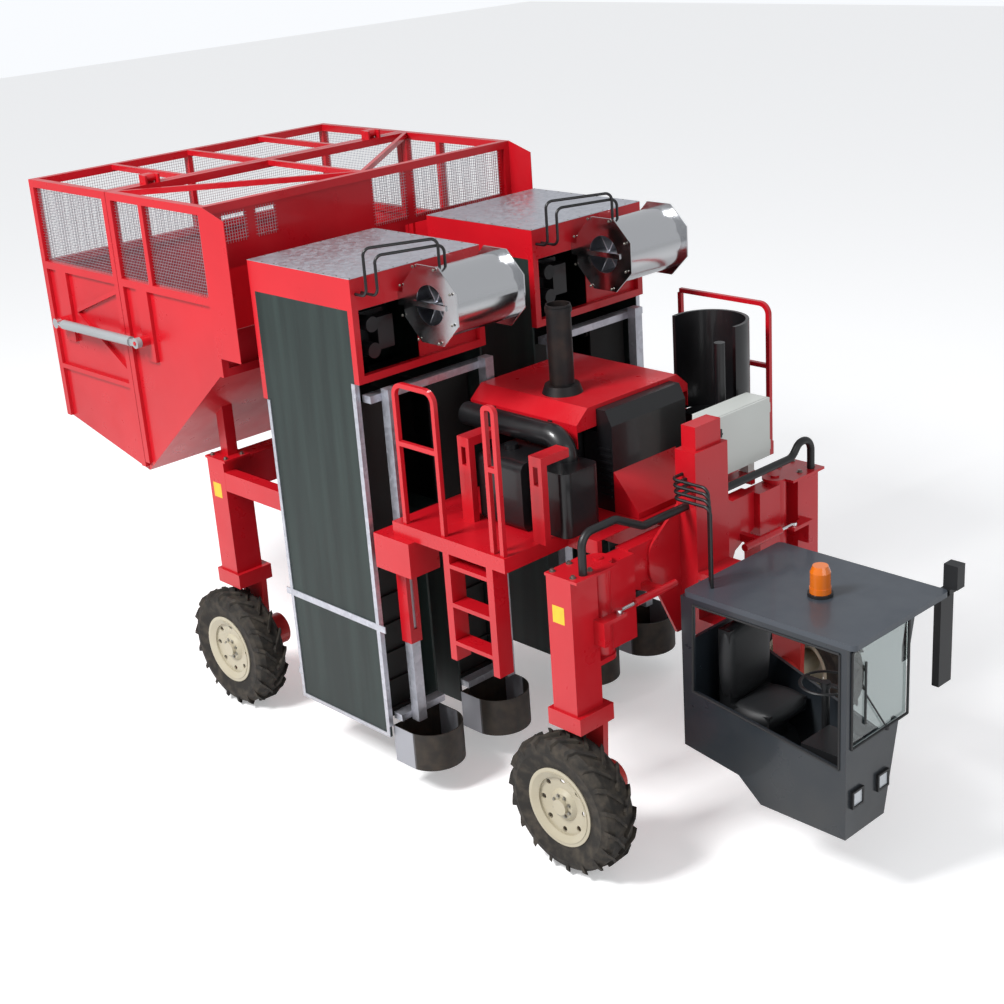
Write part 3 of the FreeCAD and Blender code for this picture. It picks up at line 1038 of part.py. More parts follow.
half_guide = z.GuideSquare / 2
guide_parts = []
for end, guide_x in (("Front", z.GuideX), ("Rear", z.GuideRearX)):
    for label, guide_y in (("Outer", -z.GuideOuter), ("Inner", -z.GuideInner)):
        guide_parts.append(box(f"Guide{end}{label}", (guide_x - half_guide, guide_y - half_guide, z.GuideBase),
                               (guide_x + half_guide, guide_y + half_guide, z.FrontPostBase - 60)))
outer_span = ("Outer", unit_right + z.UnitPost + 1, -z.TunnelOuter - 15)
inner_span = ("Inner", -z.TunnelInner + 15, unit_left - z.UnitPost - 1)
whole_span = ("Whole", unit_right + z.UnitPost + 1, unit_left - z.UnitPost - 1)
# Columns: name, foot of the ties, which reach they have; the low ones leave the row tunnel open
for label, foot, tie_spans in (("Low", z.GuideBase + 20, (outer_span, inner_span)),
                               ("High", z.FrontPostBase - z.StrapDeep - 100, (whole_span,))):
    for end, inner_x, outer_x in (("Front", z.UnitFront - z.UnitPost, z.GuideX - half_guide),
                                  ("Rear", z.GuideRearX + half_guide, z.UnitBack + z.UnitPost)):
        for leg_name, right, left in tie_spans:
            guide_parts.append(box(f"Tie{label}{end}{leg_name}", (inner_x, right, foot),
                                   (outer_x, left, foot + z.StrapDeep)))
strap = box("SideStrap", (z.UnitBack, unit_right - z.StrapThick, z.StrapHigh),
            (z.UnitFront + 20, unit_right, z.StrapHigh + z.StrapDeep))
top_sheet = box("UnitTopSheet", (z.UnitBack, unit_right, z.UnitTop - z.TopSheet),
                (z.UnitFront, unit_left, z.UnitTop))
trim = [strap]
trim_out = unit_right - z.StrapThick
wall_back = z.UnitBack + z.UnitPost
wall_front = z.UnitFront - z.UnitPost
# Columns: name, low corner, high corner of each edge strip on the outer wall
edges = (
    ("BackSide", (wall_back, trim_out, z.SkinBase), (wall_back + z.AngleWide, unit_right, z.RearPostBase)),
    ("FrontSide", (wall_front - z.AngleWide, trim_out, z.SkinBase), (wall_front, unit_right, z.FrontPostBase)),
    ("FrontFace", (wall_front, trim_out, z.ShoeRim), (wall_front + z.StrapThick, unit_right + z.AngleWide, z.FrontPostBase)),
    ("Foot", (wall_back, trim_out, z.SkinBase), (wall_front, unit_right, z.SkinBase + z.AngleWide)),
)
for label, low, high in edges:
    trim.append(box(f"Edge{label}", low, high))
node("unit_metal_right", group("UnitMetal", [fuse("GuideFrame", guide_parts), fuse("UnitTrim", trim), top_sheet]))


def shoe(label, low, high):
    """A half-round tub of bent sheet in front of a hollow leg."""
    start = z.UnitFront - z.UnitPost
    centre_y = (low + high) / 2
    radius = (high - low) / 2
    outer = [box(f"ShoeBox{label}", (start, low, z.ShoeBase), (start + z.ShoeLong - radius, high, z.ShoeRim)),
             rod(f"ShoeNose{label}", (start + z.ShoeLong - radius, centre_y, z.ShoeBase), "Z",
                 z.ShoeRim - z.ShoeBase, radius)]
    inner = [box(f"ShoeRoom{label}", (start + z.ShoeSheet, low + z.ShoeSheet, z.ShoeBase + z.ShoeSheet),
                 (start + z.ShoeLong - radius, high - z.ShoeSheet, z.ShoeRim + 5)),
             rod(f"ShoeRoomNose{label}", (start + z.ShoeLong - radius, centre_y, z.ShoeBase + z.ShoeSheet), "Z",
                 z.ShoeRim - z.ShoeBase, radius - z.ShoeSheet)]
    blank = fuse(f"ShoeBlank{label}", outer)
    return cut(f"Shoe{label}", blank, [fuse(f"ShoeSpace{label}", inner)])


shoes = [shoe("Outer", -z.UnitOuter + 40, -z.TunnelOuter - 5), shoe("Inner", -z.TunnelInner + 5, -z.UnitInner - 5)]
node("unit_shoes_right", group("UnitShoes", shoes))

motor_front = z.UnitFront - z.UnitPost
hydraulics = []
for label, motor_y, motor_z in (("Upper", -1480, 4090), ("Lower", -1480, 3880)):
    hydraulics.append(rod(f"DriveMotor{label}", (motor_front - 120, size(motor_y), size(motor_z)), "X",
                          z.MotorBodyLong, z.MotorBodyRadius))
valve = box("Valve", (motor_front - 150, size(-1400), size(3860)), (motor_front + 20, size(-1240), size(4120)))
motor_bar = box("MotorBar", (motor_front - 150, -z.UnitOuter + z.SkinThick, size(3830)), (motor_front - 100, size(-1240), size(4160)))
drum_top = z.FanZ + z.DrumRadius + z.EndGap
loops = []
for index in range(2):
    shift = z.LoopPitch * index
    loops.append(tube(f"FanLoop{index}", (
        (z.UnitFront + z.EndGap, unit_right + 50 + shift, band_base + 130), (z.LoopX + shift, unit_right + 50 + shift, band_base + 130),
        (z.LoopX + shift, unit_right + 50 + shift, z.LoopTop - shift), (z.FanX, -z.FanOuter + 130 + shift, z.LoopTop - shift),
        (z.FanX, -z.FanOuter + 130 + shift, drum_top),
    ), z.LoopBend, z.LoopRadius))
node("unit_hydraulics_right", group("UnitHydraulicSet", [fuse("UnitHydraulics", hydraulics + [valve, motor_bar])] + loops))


def fan_housing():
    """Two eight-sided plates with the bright drum between them."""
    flat = z.FanPlateWide / 2
    corner = flat * 0.4142
    outline = (
        (z.FanX - flat, z.FanZ - corner), (z.FanX - corner, z.FanZ - flat), (z.FanX + corner, z.FanZ - flat),
        (z.FanX + flat, z.FanZ - corner), (z.FanX + flat, z.FanZ + corner), (z.FanX + corner, z.FanZ + flat),
        (z.FanX - corner, z.FanZ + flat), (z.FanX - flat, z.FanZ + corner),
    )
    inlet = ((z.FanX, z.FanZ, z.InletRadius),)
    plates = [
        plate("FanPlateOuter", "XZ_Plane", outline, -z.FanOuter, -z.FanOuter + z.FanPlateThick, holes=inlet),
        plate("FanPlateInner", "XZ_Plane", outline, -z.FanInner - z.FanPlateThick, -z.FanInner, holes=inlet),
    ]
    drum = turned("FanDrum", (
        (z.DrumRadius - z.DrumSheet, size(0)), (z.DrumRadius, size(0)),
        (z.DrumRadius, z.FanOuter - z.FanInner - z.FanPlateThick * 2),
        (z.DrumRadius - z.DrumSheet, z.FanOuter - z.FanInner - z.FanPlateThick * 2),
    ), (z.FanX, -z.FanOuter + z.FanPlateThick, z.FanZ), "Y")
    arms = []
    for label, arm_y in (("Outer", -z.FanOuter), ("Inner", -z.FanInner - z.FanPlateThick)):
        arms.append(box(f"FanArm{label}", (z.UnitFront, arm_y, z.FanZ - 40),
                        (z.FanX - flat + 1, arm_y + z.FanPlateThick, z.FanZ + z.FanArm)))
    for label, bar_y in (("Outer", -z.FanOuter - z.FanPlateThick), ("Inner", -z.FanInner)):
        arms.append(box(f"FanBar{label}", (z.FanX - z.InletRadius - 30, bar_y, z.FanZ - 20),
                        (z.FanX + z.InletRadius + 30, bar_y + z.FanPlateThick, z.FanZ + 20)))
    return fuse("FanHousing", plates + [drum] + arms)


node("fan_housing_right", fan_housing())

blade_parts = [rod("FanShaftBar", (z.FanX, -z.FanOuter + z.FanGap, z.FanZ), "Y",
                   z.FanOuter - z.FanInner - z.FanGap * 2, z.FanShaft)]
for index in range(int(z.FanBlades.number)):
    blade = doc.addObject("Part::Box", f"FanBlade{index}")
    for side, long in (("Length", z.FanBladeLong), ("Width", z.FanOuter - z.FanInner - 140), ("Height", z.BladeThick)):
        bind(blade, side, long)
    blade.Placement = FreeCAD.Placement(FreeCAD.Vector(), FreeCAD.Rotation(Y_AXIS, 360.0 * index / z.FanBlades.number))
    blade_parts.append(move(blade, (z.FanX, -z.FanOuter + 70, z.FanZ)))
node("fan_rotor_right", fuse("FanRotor", blade_parts))

for label in ("unit_frame", "unit_skins", "unit_belts", "unit_metal", "unit_shoes",
              "unit_hydraulics", "fan_housing", "fan_rotor"):
    source = [thing for thing in NODES if thing.Label == f"{label}_right"][0]
    if label == "unit_metal":
        node(f"{label}_left", mirrored(f"{label}Left", source))
    else:
        node(f"{label}_left", shifted(f"{label}Left", source, z.UnitPitch))

# Sleeves on the chassis that the units' columns slide in

sleeve_half = z.GuideSquare / 2 + z.SleeveGap
sleeve_out = sleeve_half + z.SleeveWall


def sleeve(label, guide_x, guide_y, arm_to, base):
    """A square sleeve round one guide column with an arm back to the frame."""
    blank = [box(f"Sleeve{label}", (guide_x - sleeve_out, guide_y - sleeve_out, base),
                 (guide_x + sleeve_out, guide_y + sleeve_out, z.SleeveTop + 120))]
    for index, (low, high) in enumerate(arm_to):
        blank.append(box(f"SleeveArm{label}{index}", low, high))
    bore = box(f"SleeveBore{label}", (guide_x - sleeve_half, guide_y - sleeve_half, base - 5),
               (guide_x + sleeve_half, guide_y + sleeve_half, z.SleeveTop + 125))
    tools = [bore]
    if base is z.SleeveBase:
        tools.append(box(f"SleeveSlot{label}", (guide_x + sleeve_half - 5, guide_y - 18, base + 120),
                         (guide_x + sleeve_out + 5, guide_y + 18, z.SleeveArm - 60)))
    return cut(f"SleeveCut{label}", fuse(f"SleeveBlank{label}", blank), tools)


sleeves = []
for side_name, side in SIDES:
    for label, guide_y in (("Outer", side * z.GuideOuter), ("Inner", side * z.GuideInner)):
        if label == "Outer":
            y0, y1 = side_span(side, z.GuideOuter - sleeve_out, z.BracketOuter)
            arm = ((z.GuideX - sleeve_out, y0, z.SleeveArm), (z.BracketFront, y1, rim_low))
        else:
            arm = ((z.GuideX, guide_y - sleeve_out, z.SleeveArm + 60),
                   (z.DeckBack + 60, guide_y + sleeve_out, rim_low))
        base = z.SleeveBase if label == "Outer" else z.SleeveArm
        sleeves.append(sleeve(f"Front{label}{side_name}", z.GuideX, guide_y, [arm], base))
    # Columns: name, middle of the sleeve, face of the leg or beam that its arm starts from
    for label, guide_y, arm_start in (
        ("Outer", side * z.GuideOuter, z.AxleRear + z.LegLong / 2),
        ("Inner", side * z.GuideInner, z.AxleRear + z.RearBeamLong / 2),
    ):
        arm = ((arm_start, guide_y - sleeve_out, z.SleeveArm + 60),
               (z.GuideRearX, guide_y + sleeve_out, z.SleeveTop + 60))
        sleeves.append(sleeve(f"Rear{label}{side_name}", z.GuideRearX, guide_y, [arm], z.SleeveArm))
node("guide_sleeves", group("GuideSleeves", sleeves))

# Hoses: thick ones from the deck into the legs' tops, a bundle from the mast to the cab, loops to the fans

# The left hose stays under the cabinet's door until it is past the door's swing.
# Columns: name, side, where it rises, its crest, its end, height of the crest
LEG_HOSES = (
    ("right", -1, z.HoseRiseRight, z.HoseCrestRight, z.HoseEndRight, z.HoseTopRight),
    ("left", 1, z.HoseRiseLeft, z.HoseCrestLeft, z.HoseEndLeft, z.HoseTopLeft),
)
chassis_hoses = []
for side_name, side, rise_y, crest_y, end_y, crest in LEG_HOSES:
    chassis_hoses.append(tube(f"LegHose_{side_name}", (
        (z.HoseX, side * z.MastHalf, z.HoseLow), (z.HoseX, side * rise_y, z.HoseLow),
        (z.HoseX, side * crest_y, crest), (z.HoseX, side * end_y, crest),
        (z.HoseX, side * end_y, z.LegTop + z.FlangeThick + z.EndGap),
    ), z.HoseBend, z.HoseRadius))
for index in range(int(z.CabHoses.number)):
    shift = z.CabHosePitch * index
    level = z.CabHoseHigh - shift
    chassis_hoses.append(tube(f"CabHose{index}", (
        (mast_back + 70 + shift, -z.MastHalf, level), (mast_back + 70 + shift, z.CabHoseY - shift, level),
        (z.RoofBack + 50 + shift, z.CabHoseY - shift, level), (z.RoofBack + 50 + shift, z.CabHoseY - shift, z.RoofTop),
    ), z.CabHoseBend, z.CabHoseRadius))
node("hoses", group("Hoses", chassis_hoses))

# Bin: fixed front part and the tailgate shell behind the hinge post

pivot_high = z.BinTop + z.PivotRise

rail = z.BinRail
skin = z.BinSheet
split_front = z.BinSplit + z.SplitGap / 2
split_back = z.BinSplit - z.SplitGap / 2


def side_frame(name, outline, side):
    """One side panel below the middle rail."""
    y0, y1 = side_span(side, z.BinHalf - rail / 2 - skin, z.BinHalf - rail / 2)
    return plate(name, "XZ_Plane", outline, y0, y1)


def rails(rows, name):
    """Square rails from a table of low and high corners."""
    return [box(f"{name}{index}", low, high) for index, (low, high) in enumerate(rows)]


mid_low = z.MidRail - rail / 2
mid_high = z.MidRail + rail / 2
top_low = z.BinTop - rail
fixed_rails = []
fixed_parts = []
gate_parts = []
for side_name, side in SIDES:
    y0, y1 = side_span(side, z.BinHalf - rail, z.BinHalf)
    fixed_rails += rails((
        ((split_front, y0, top_low), (z.BinFront, y1, z.BinTop)),
        ((split_front, y0, mid_low), (z.BinFront, y1, mid_high)),
        ((split_front, y0, z.BinKeel + 90), (split_front + rail, y1, z.BinTop)),
        ((z.BinFront - rail, y0, z.BinSill - rail), (z.BinFront, y1, z.BinTop)),
        ((split_front + 520, y0, mid_high), (split_front + 520 + z.WindowPost, y1, top_low)),
    ), f"FixedRail_{side_name}")
    fixed_parts.append(side_frame(f"FixedSide_{side_name}", (
        (split_front, z.BinKeel), (z.BinFront, z.BinSill), (z.BinFront, mid_low + 10), (split_front, mid_low + 10),
    ), side))
    gate_parts += rails((
        ((z.BinBack, y0, top_low), (split_back, y1, z.BinTop)),
        ((z.BinBack, y0, mid_low), (split_back, y1, mid_high)),
        ((z.BinBack, y0, z.BinHeel), (z.BinBack + rail, y1, z.BinTop)),
        ((split_back - rail, y0, z.BinKeel + 40), (split_back, y1, z.BinTop)),
    ), f"GateRail_{side_name}")
    gate_parts.append(side_frame(f"GateSide_{side_name}", (
        (z.BinBack, z.BinHeel), (split_back, z.BinKeel), (split_back, mid_low + 10), (z.BinBack, mid_low + 10),
    ), side))

inner_half = z.BinHalf - rail / 2
floor_rise = (z.BinSill - z.BinKeel) / (z.BinFront - split_front)
floor_end = z.BinFront - rail / 2
floor_end_high = z.BinKeel + floor_rise * (floor_end - split_front)
fixed_parts.append(plate("FixedFloor", "XZ_Plane", (
    (split_front, z.BinKeel), (floor_end, floor_end_high), (floor_end, floor_end_high + skin * 1.5),
    (split_front, z.BinKeel + skin * 1.5),
), -inner_half + skin, inner_half - skin))
front_wall = box("FrontWall", (z.BinFront - rail / 2 - skin, -inner_half, z.BinSill),
                 (z.BinFront - rail / 2, inner_half, z.BinTop - 10))
front_holes = [
    box("FrontWindowA", (z.BinFront - rail, size(80), z.FrontMeshBase), (z.BinFront, size(450), z.BinTop - rail)),
    box("FrontWindowB", (z.BinFront - rail, size(560), z.FrontMeshBase), (z.BinFront, size(1640), z.BinTop - rail)),
    box("FrontWindowC", (z.BinFront - rail, size(-1560), size(4560)), (z.BinFront, size(-1330), size(4780))),
    box("FrontWindowD", (z.BinFront - rail, size(-1210), size(4560)), (z.BinFront, size(-1020), size(4780))),
    box("EntryLeft", (z.BinFront - rail, z.EntryInner, z.EntryBase), (z.BinFront, z.EntryOuter, z.EntryTop)),
    box("EntryRight", (z.BinFront - rail, -z.EntryOuter, z.EntryBase), (z.BinFront, -z.EntryInner, z.EntryTop)),
]
fixed_parts.append(cut("FrontWallOpen", front_wall, front_holes))
fixed_rails += rails((
    ((z.BinFront - rail, -z.BinHalf, top_low), (z.BinFront, z.BinHalf, z.BinTop)),
    ((z.BinFront - rail, -z.BinHalf, z.BinSill - rail), (z.BinFront, z.BinHalf, z.BinSill)),
    ((split_front, -z.BinHalf, top_low), (split_front + rail, z.BinHalf, z.BinTop)),
    ((split_front + rail, -z.CrossRail / 2, z.BinTop - z.CrossRail), (z.BinFront - rail, z.CrossRail / 2, z.BinTop)),
), "FixedCross")
for side_name, side in SIDES:
    near_y, far_y = side * (z.BinHalf - rail), size(0)
    half = z.CrossRail * 0.6
    fixed_parts.append(plate(f"TopDiagonal_{side_name}", "XY_Plane", (
        (split_front + rail, near_y - half), (z.BinFront - rail, far_y - half),
        (z.BinFront - rail, far_y + half), (split_front + rail, near_y + half),
    ), z.BinTop - z.CrossRail, z.BinTop))
bin_fixed_body = fuse("BinFixedBody", [fuse("BinFixedRails", fixed_rails), fuse("BinFixedPanels", fixed_parts)])

gate_parts.append(box("GateBackWall", (z.BinBack + rail / 2, -inner_half, z.BinHeel),
                      (z.BinBack + rail / 2 + skin, inner_half, mid_low + 10)))
gate_parts.append(plate("GateFloor", "XZ_Plane", (
    (z.BinBack + 2, z.BinHeel), (split_back, z.BinKeel), (split_back, z.BinKeel + skin * 1.2),
    (z.BinBack + 2, z.BinHeel + skin * 1.2),
), -inner_half, inner_half))
gate_parts += rails((
    ((z.BinBack, -z.BinHalf, top_low), (z.BinBack + rail, z.BinHalf, z.BinTop)),
    ((z.BinBack, -z.BinHalf, mid_low), (z.BinBack + rail, z.BinHalf, mid_high)),
    ((z.BinBack, -z.BinHalf, z.BinHeel), (z.BinBack + rail, z.BinHalf, z.BinHeel + rail)),
    ((split_back - rail, -z.BinHalf, top_low), (split_back, z.BinHalf, z.BinTop)),
    ((z.BinBack, -z.CrossRail / 2, mid_high), (z.BinBack + rail, z.CrossRail / 2, top_low)),
    ((z.BinBack + rail, -z.CrossRail / 2, z.BinTop - z.CrossRail), (split_back - rail, z.CrossRail / 2, z.BinTop)),
    ((z.BinBack + rail, -z.GateRailY - z.CrossRail / 2, z.BinTop - z.CrossRail),
     (split_back - rail, -z.GateRailY + z.CrossRail / 2, z.BinTop)),
    ((z.BinBack + rail, z.GateRailY - z.CrossRail / 2, z.BinTop - z.CrossRail),
     (split_back - rail, z.GateRailY + z.CrossRail / 2, z.BinTop)),
), "GateCross")
for side_name, side in SIDES:
    y0, y1 = side_span(side, z.BinHalf - rail / 2, z.BinHalf)
    # Columns: name, x and z of the rib's start, x and z of its end
    ribs = (
        ("KneeHigh", z.GateEyeX + 210, z.GateEyeZ + 130, split_back - rail, mid_low - 70),
        ("KneeLow", z.GateEyeX + 210, z.GateEyeZ + 90, split_back - rail, z.RibHigh + 140),
        ("Ledge", z.BinBack + rail, z.RibHigh, split_back - rail, z.RibHigh),
    )
    for label, start_x, start_z, end_x, end_z in ribs:
        gate_parts.append(plate(f"GateRib{label}_{side_name}", "XZ_Plane", (
            (start_x, start_z - z.BraceDeep / 2), (end_x, end_z - z.BraceDeep / 2),
            (end_x, end_z + z.BraceDeep / 2), (start_x, start_z + z.BraceDeep / 2),
        ), y0, y1))
gate_body = fuse("GateBody", gate_parts)

fixed_mesh = []
gate_mesh = []
for side_name, side in SIDES:
    y0, y1 = side_span(side, z.BinHalf - rail / 2, z.BinHalf - rail / 2 + z.MeshThick)
    fixed_mesh.append(box(f"FixedMeshA_{side_name}", (split_front + rail, y0, mid_high), (split_front + 520, y1, top_low)))
    fixed_mesh.append(box(f"FixedMeshB_{side_name}", (split_front + 520 + z.WindowPost, y0, mid_high),
                          (z.BinFront - rail, y1, top_low)))
    gate_mesh.append(box(f"GateMesh_{side_name}", (z.BinBack + rail, y0, mid_high), (split_back - rail, y1, top_low)))
mesh_x0 = z.BinFront - rail / 2 + 0.2
# Columns: name, right, left, foot, top of each mesh pane in the front wall
panes = (("A", 60, 470, 4380, 4830), ("B", 540, 1660, 4380, 4830),
         ("C", -1580, -1310, 4540, 4800), ("D", -1230, -1000, 4540, 4800))
for label, right, left, foot, top in panes:
    fixed_mesh.append(box(f"FrontMesh{label}", (mesh_x0, size(right), size(foot)),
                          (mesh_x0 + z.MeshThick, size(left), min(size(top), top_low, key=lambda s: s.number))))
node("bin_mesh_fixed", group("BinMeshFixed", fixed_mesh))
for label, right, left in (("Right", -z.BinHalf + rail, -z.CrossRail / 2), ("Left", z.CrossRail / 2, z.BinHalf - rail)):
    gate_mesh.append(box(f"BackMesh{label}", (z.BinBack + rail / 2, right, mid_high),
                         (z.BinBack + rail / 2 + z.MeshThick, left, top_low)))
node("bin_mesh_tailgate", group("BinMeshTailgate", gate_mesh))

# Wing plates ahead of the bin's front corners, bin legs on the rear beam

wings = []
for side_name, side in SIDES:
    y0, y1 = side_span(side, z.BinHalf - skin, z.BinHalf)
    wings.append(plate(f"Wing_{side_name}", "XZ_Plane", (
        (z.BinFront, z.WingBase), (z.BinFront + z.WingLong, z.WingBase),
        (z.BinFront + z.WingLong, z.BinTop - z.WingDrop), (z.BinFront, z.BinTop),
    ), y0, y1))

bin_legs = []
leg_x0 = z.AxleRear - z.BinLegSquare / 2
leg_x1 = z.AxleRear + z.BinLegSquare / 2
for side_name, side in SIDES:
    y0, y1 = side_span(side, z.BinLegY - z.BinLegSquare / 2, z.BinLegY + z.BinLegSquare / 2)
    floor_at_0 = z.BinKeel + floor_rise * (leg_x0 - split_front)
    floor_at_1 = z.BinKeel + floor_rise * (leg_x1 - split_front)
    foot = z.LegTop + z.FlangeThick
    bin_legs.append(plate(f"BinLeg_{side_name}", "XZ_Plane", (
        (leg_x0, foot), (leg_x1, foot), (leg_x1, floor_at_1), (leg_x0, floor_at_0),
    ), y0, y1))
node("bin_legs", group("BinLegs", bin_legs))

# Hinge knuckles above the top rails, and the two tailgate cylinders outside the bin

knuckle_radius = z.PivotRadius + 12
fixed_knuckles = []
gate_knuckles = []
for side_name, side in SIDES:
    mid_y = side * z.KnuckleY
    half = z.KnuckleLong / 2
    tube_y = (mid_y - half, mid_y + half)
    gate_tube = rod(f"GateKnuckle_{side_name}", (z.BinSplit, tube_y[0], pivot_high), "Y",
                    z.KnuckleLong, knuckle_radius)
    gate_arm = box(f"GateKnuckleArm_{side_name}", (z.BinSplit - z.BinRail, tube_y[0], z.BinTop - 1),
                   (z.BinSplit, tube_y[1], pivot_high + knuckle_radius))
    gate_bore = rod(f"GateKnuckleBore_{side_name}", (z.BinSplit, tube_y[0] - 5, pivot_high), "Y",
                    z.KnuckleLong + 10, z.PivotRadius + z.PinGap)
    gate_low = box(f"GateKnuckleGap_{side_name}", (split_back, tube_y[0] - 5, z.BinTop - 5),
                   (z.BinSplit + 60, tube_y[1] + 5, pivot_high - knuckle_radius))
    gate_knuckles.append(cut(f"GateKnuckleCut_{side_name}",
                             fuse(f"GateKnuckleBlank_{side_name}", [gate_tube, gate_arm]), [gate_bore, gate_low]))
    fixed_knuckles.append(rod(f"Pin_{side_name}", (z.BinSplit, tube_y[0] - z.CheekThick - 3, pivot_high), "Y",
                              z.KnuckleLong + z.CheekThick * 2 + 6, z.PivotRadius))
    for label, cheek_y in (("A", tube_y[0] - z.CheekThick - 2), ("B", tube_y[1] + 2)):
        fixed_knuckles.append(rod(f"Cheek{label}_{side_name}", (z.BinSplit, cheek_y, pivot_high), "Y",
                                  z.CheekThick, knuckle_radius))
        fixed_knuckles.append(box(f"CheekArm{label}_{side_name}", (z.BinSplit + 4, cheek_y, z.BinTop - 1),
                                  (z.BinSplit + z.BinRail, cheek_y + z.CheekThick, pivot_high + knuckle_radius)))

rest_long = (z.FixedEyeX - z.GateEyeX)
rest_drop = math.degrees(math.atan2(z.FixedEyeZ.number - z.GateEyeZ.number, rest_long.number))
for side_name, side in SIDES:
    y0, y1 = side_span(side, z.BinHalf - 1, z.CylinderY + z.EyeThick / 2 + 8)
    fixed_knuckles.append(rod(f"EyePin_{side_name}", (z.FixedEyeX, y0, z.FixedEyeZ), "Y", y1 - y0, z.EyePin))
    y0, y1 = side_span(side, z.BinHalf - 1, z.CylinderY - z.EyeThick / 2 - 3)
    fixed_knuckles.append(rod(f"EyeBoss_{side_name}", (z.FixedEyeX, y0, z.FixedEyeZ), "Y", y1 - y0, z.EyeRadius))
    fixed_knuckles.append(box(f"EyePad_{side_name}", (z.FixedEyeX - 90, side_span(side, z.BinHalf - 42, z.BinHalf)[0], z.FixedEyeZ - 200),
                              (z.FixedEyeX + 90, side_span(side, z.BinHalf - 42, z.BinHalf)[1], mid_low + 20)))
    gate_knuckles.append(rod(f"GateEyeBoss_{side_name}", (z.GateEyeX, y0, z.GateEyeZ), "Y", y1 - y0, z.EyeRadius))
    gate_knuckles.append(box(f"GateEyePad_{side_name}", (z.GateEyeX - 90, side_span(side, z.BinHalf - 42, z.BinHalf)[0], z.GateEyeZ - 200),
                             (z.GateEyeX + 90, side_span(side, z.BinHalf - 42, z.BinHalf)[1], mid_low + 20)))
    y0, y1 = side_span(side, z.CylinderY - z.EyeThick / 2, z.CylinderY + z.EyeThick / 2)
    barrel_eye = rod(f"BarrelEye_{side_name}", (size(0), y0, size(0)), "Y", z.EyeThick, z.EyeRadius)
    barrel_neck = box(f"BarrelNeck_{side_name}", (size(-150), y0, size(-30)), (size(0), y1, size(30)))
    barrel_tube = rod(f"BarrelTube_{side_name}", (size(-1290), side * z.CylinderY, size(0)), "X", size(1190), z.BarrelRadius)
    bore = rod(f"BarrelBore_{side_name}", (size(-1295), side * z.CylinderY, size(0)), "X", size(1150), z.RodRadius + z.RodGap)
    pin_bore = rod(f"BarrelPinBore_{side_name}", (size(0), y0 - 5, size(0)), "Y", z.EyeThick + 10, z.EyePin + z.PinGap)
    barrel = cut(f"Barrel_{side_name}", fuse(f"BarrelBlank_{side_name}", [barrel_eye, barrel_neck, barrel_tube]),
                 [bore, pin_bore])
    barrel.Placement = FreeCAD.Placement(FreeCAD.Vector(), FreeCAD.Rotation(Y_AXIS, -rest_drop))
    node(f"cylinder_barrel_{side_name}", move(barrel, (z.FixedEyeX, size(0), z.FixedEyeZ)))
    rod_bar = rod(f"RodBar_{side_name}", (-rest_long + 20, side * z.CylinderY, size(0)), "X", rest_long - 190, z.RodRadius)
    rod_eye = rod(f"RodEye_{side_name}", (-rest_long, y0, size(0)), "Y", z.EyeThick, z.EyeRadius)
    piston = fuse(f"RodSet_{side_name}", [rod_bar, rod_eye])
    piston.Placement = FreeCAD.Placement(FreeCAD.Vector(), FreeCAD.Rotation(Y_AXIS, -rest_drop))
    node(f"cylinder_rod_{side_name}", move(piston, (z.FixedEyeX, size(0), z.FixedEyeZ)))

node("bin_fixed", fuse("BinFixed", [bin_fixed_body] + wings + fixed_knuckles))
node("bin_tailgate", fuse("BinTailgate", [gate_body] + gate_knuckles))

# Check every object, then write each sub-part

doc.recompute()
faults = [thing.Label for thing in doc.Objects if {"Invalid", "Error"} & set(thing.State)]
if faults:
    raise RuntimeError("failed objects: " + ", ".join(faults))
for thing in NODES:
    shape = thing.Shape
    if shape.isNull() or not shape.isValid() or not shape.Solids:
        raise RuntimeError("bad shape: " + thing.Label)
os.makedirs("parts", exist_ok=True)
for thing in NODES:
    thing.Shape.exportStep(f"parts/{thing.Label}.step")
    print(thing.Label, len(thing.Shape.Solids), round(thing.Shape.Volume / 1e6, 2))
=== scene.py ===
# %% [markdown]
# # A two-row tobacco harvester
# The solids come from the CAD model: frame, legs, wheels, cab, engine, picking units and bin. This script
# gives every one of them its real surface, adds what is too fine for the solids, such as woven wire, bolts,
# seals and the seat's cushions, and sets the camera and the light. Lengths are in metres, +X is the way the
# machine drives, +Y is its left and +Z is up.

# %% Load the solids
import bpy
import bmesh
import math
from mathutils import Matrix, Vector


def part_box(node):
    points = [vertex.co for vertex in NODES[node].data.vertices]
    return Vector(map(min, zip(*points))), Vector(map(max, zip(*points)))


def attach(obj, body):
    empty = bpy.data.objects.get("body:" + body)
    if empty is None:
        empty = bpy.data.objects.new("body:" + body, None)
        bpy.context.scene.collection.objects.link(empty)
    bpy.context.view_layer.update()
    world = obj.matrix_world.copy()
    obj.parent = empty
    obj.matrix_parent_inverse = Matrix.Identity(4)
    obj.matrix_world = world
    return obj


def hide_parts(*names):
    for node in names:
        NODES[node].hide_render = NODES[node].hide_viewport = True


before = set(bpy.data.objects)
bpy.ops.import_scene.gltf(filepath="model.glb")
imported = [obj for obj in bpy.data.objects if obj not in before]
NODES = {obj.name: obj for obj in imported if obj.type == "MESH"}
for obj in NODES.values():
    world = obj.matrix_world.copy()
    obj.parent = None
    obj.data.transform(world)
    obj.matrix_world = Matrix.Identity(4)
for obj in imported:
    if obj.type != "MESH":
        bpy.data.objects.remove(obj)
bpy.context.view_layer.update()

# %% [markdown]
# ## Surfaces
# Each surface is one of the real materials of such a machine. A colour is written as it would be picked
# from a paint card, as a screen colour, and one function turns it into the linear light that the renderer
# adds up. Another small function adds a shader node, sets its sockets and links what feeds it, so each
# recipe stays short.


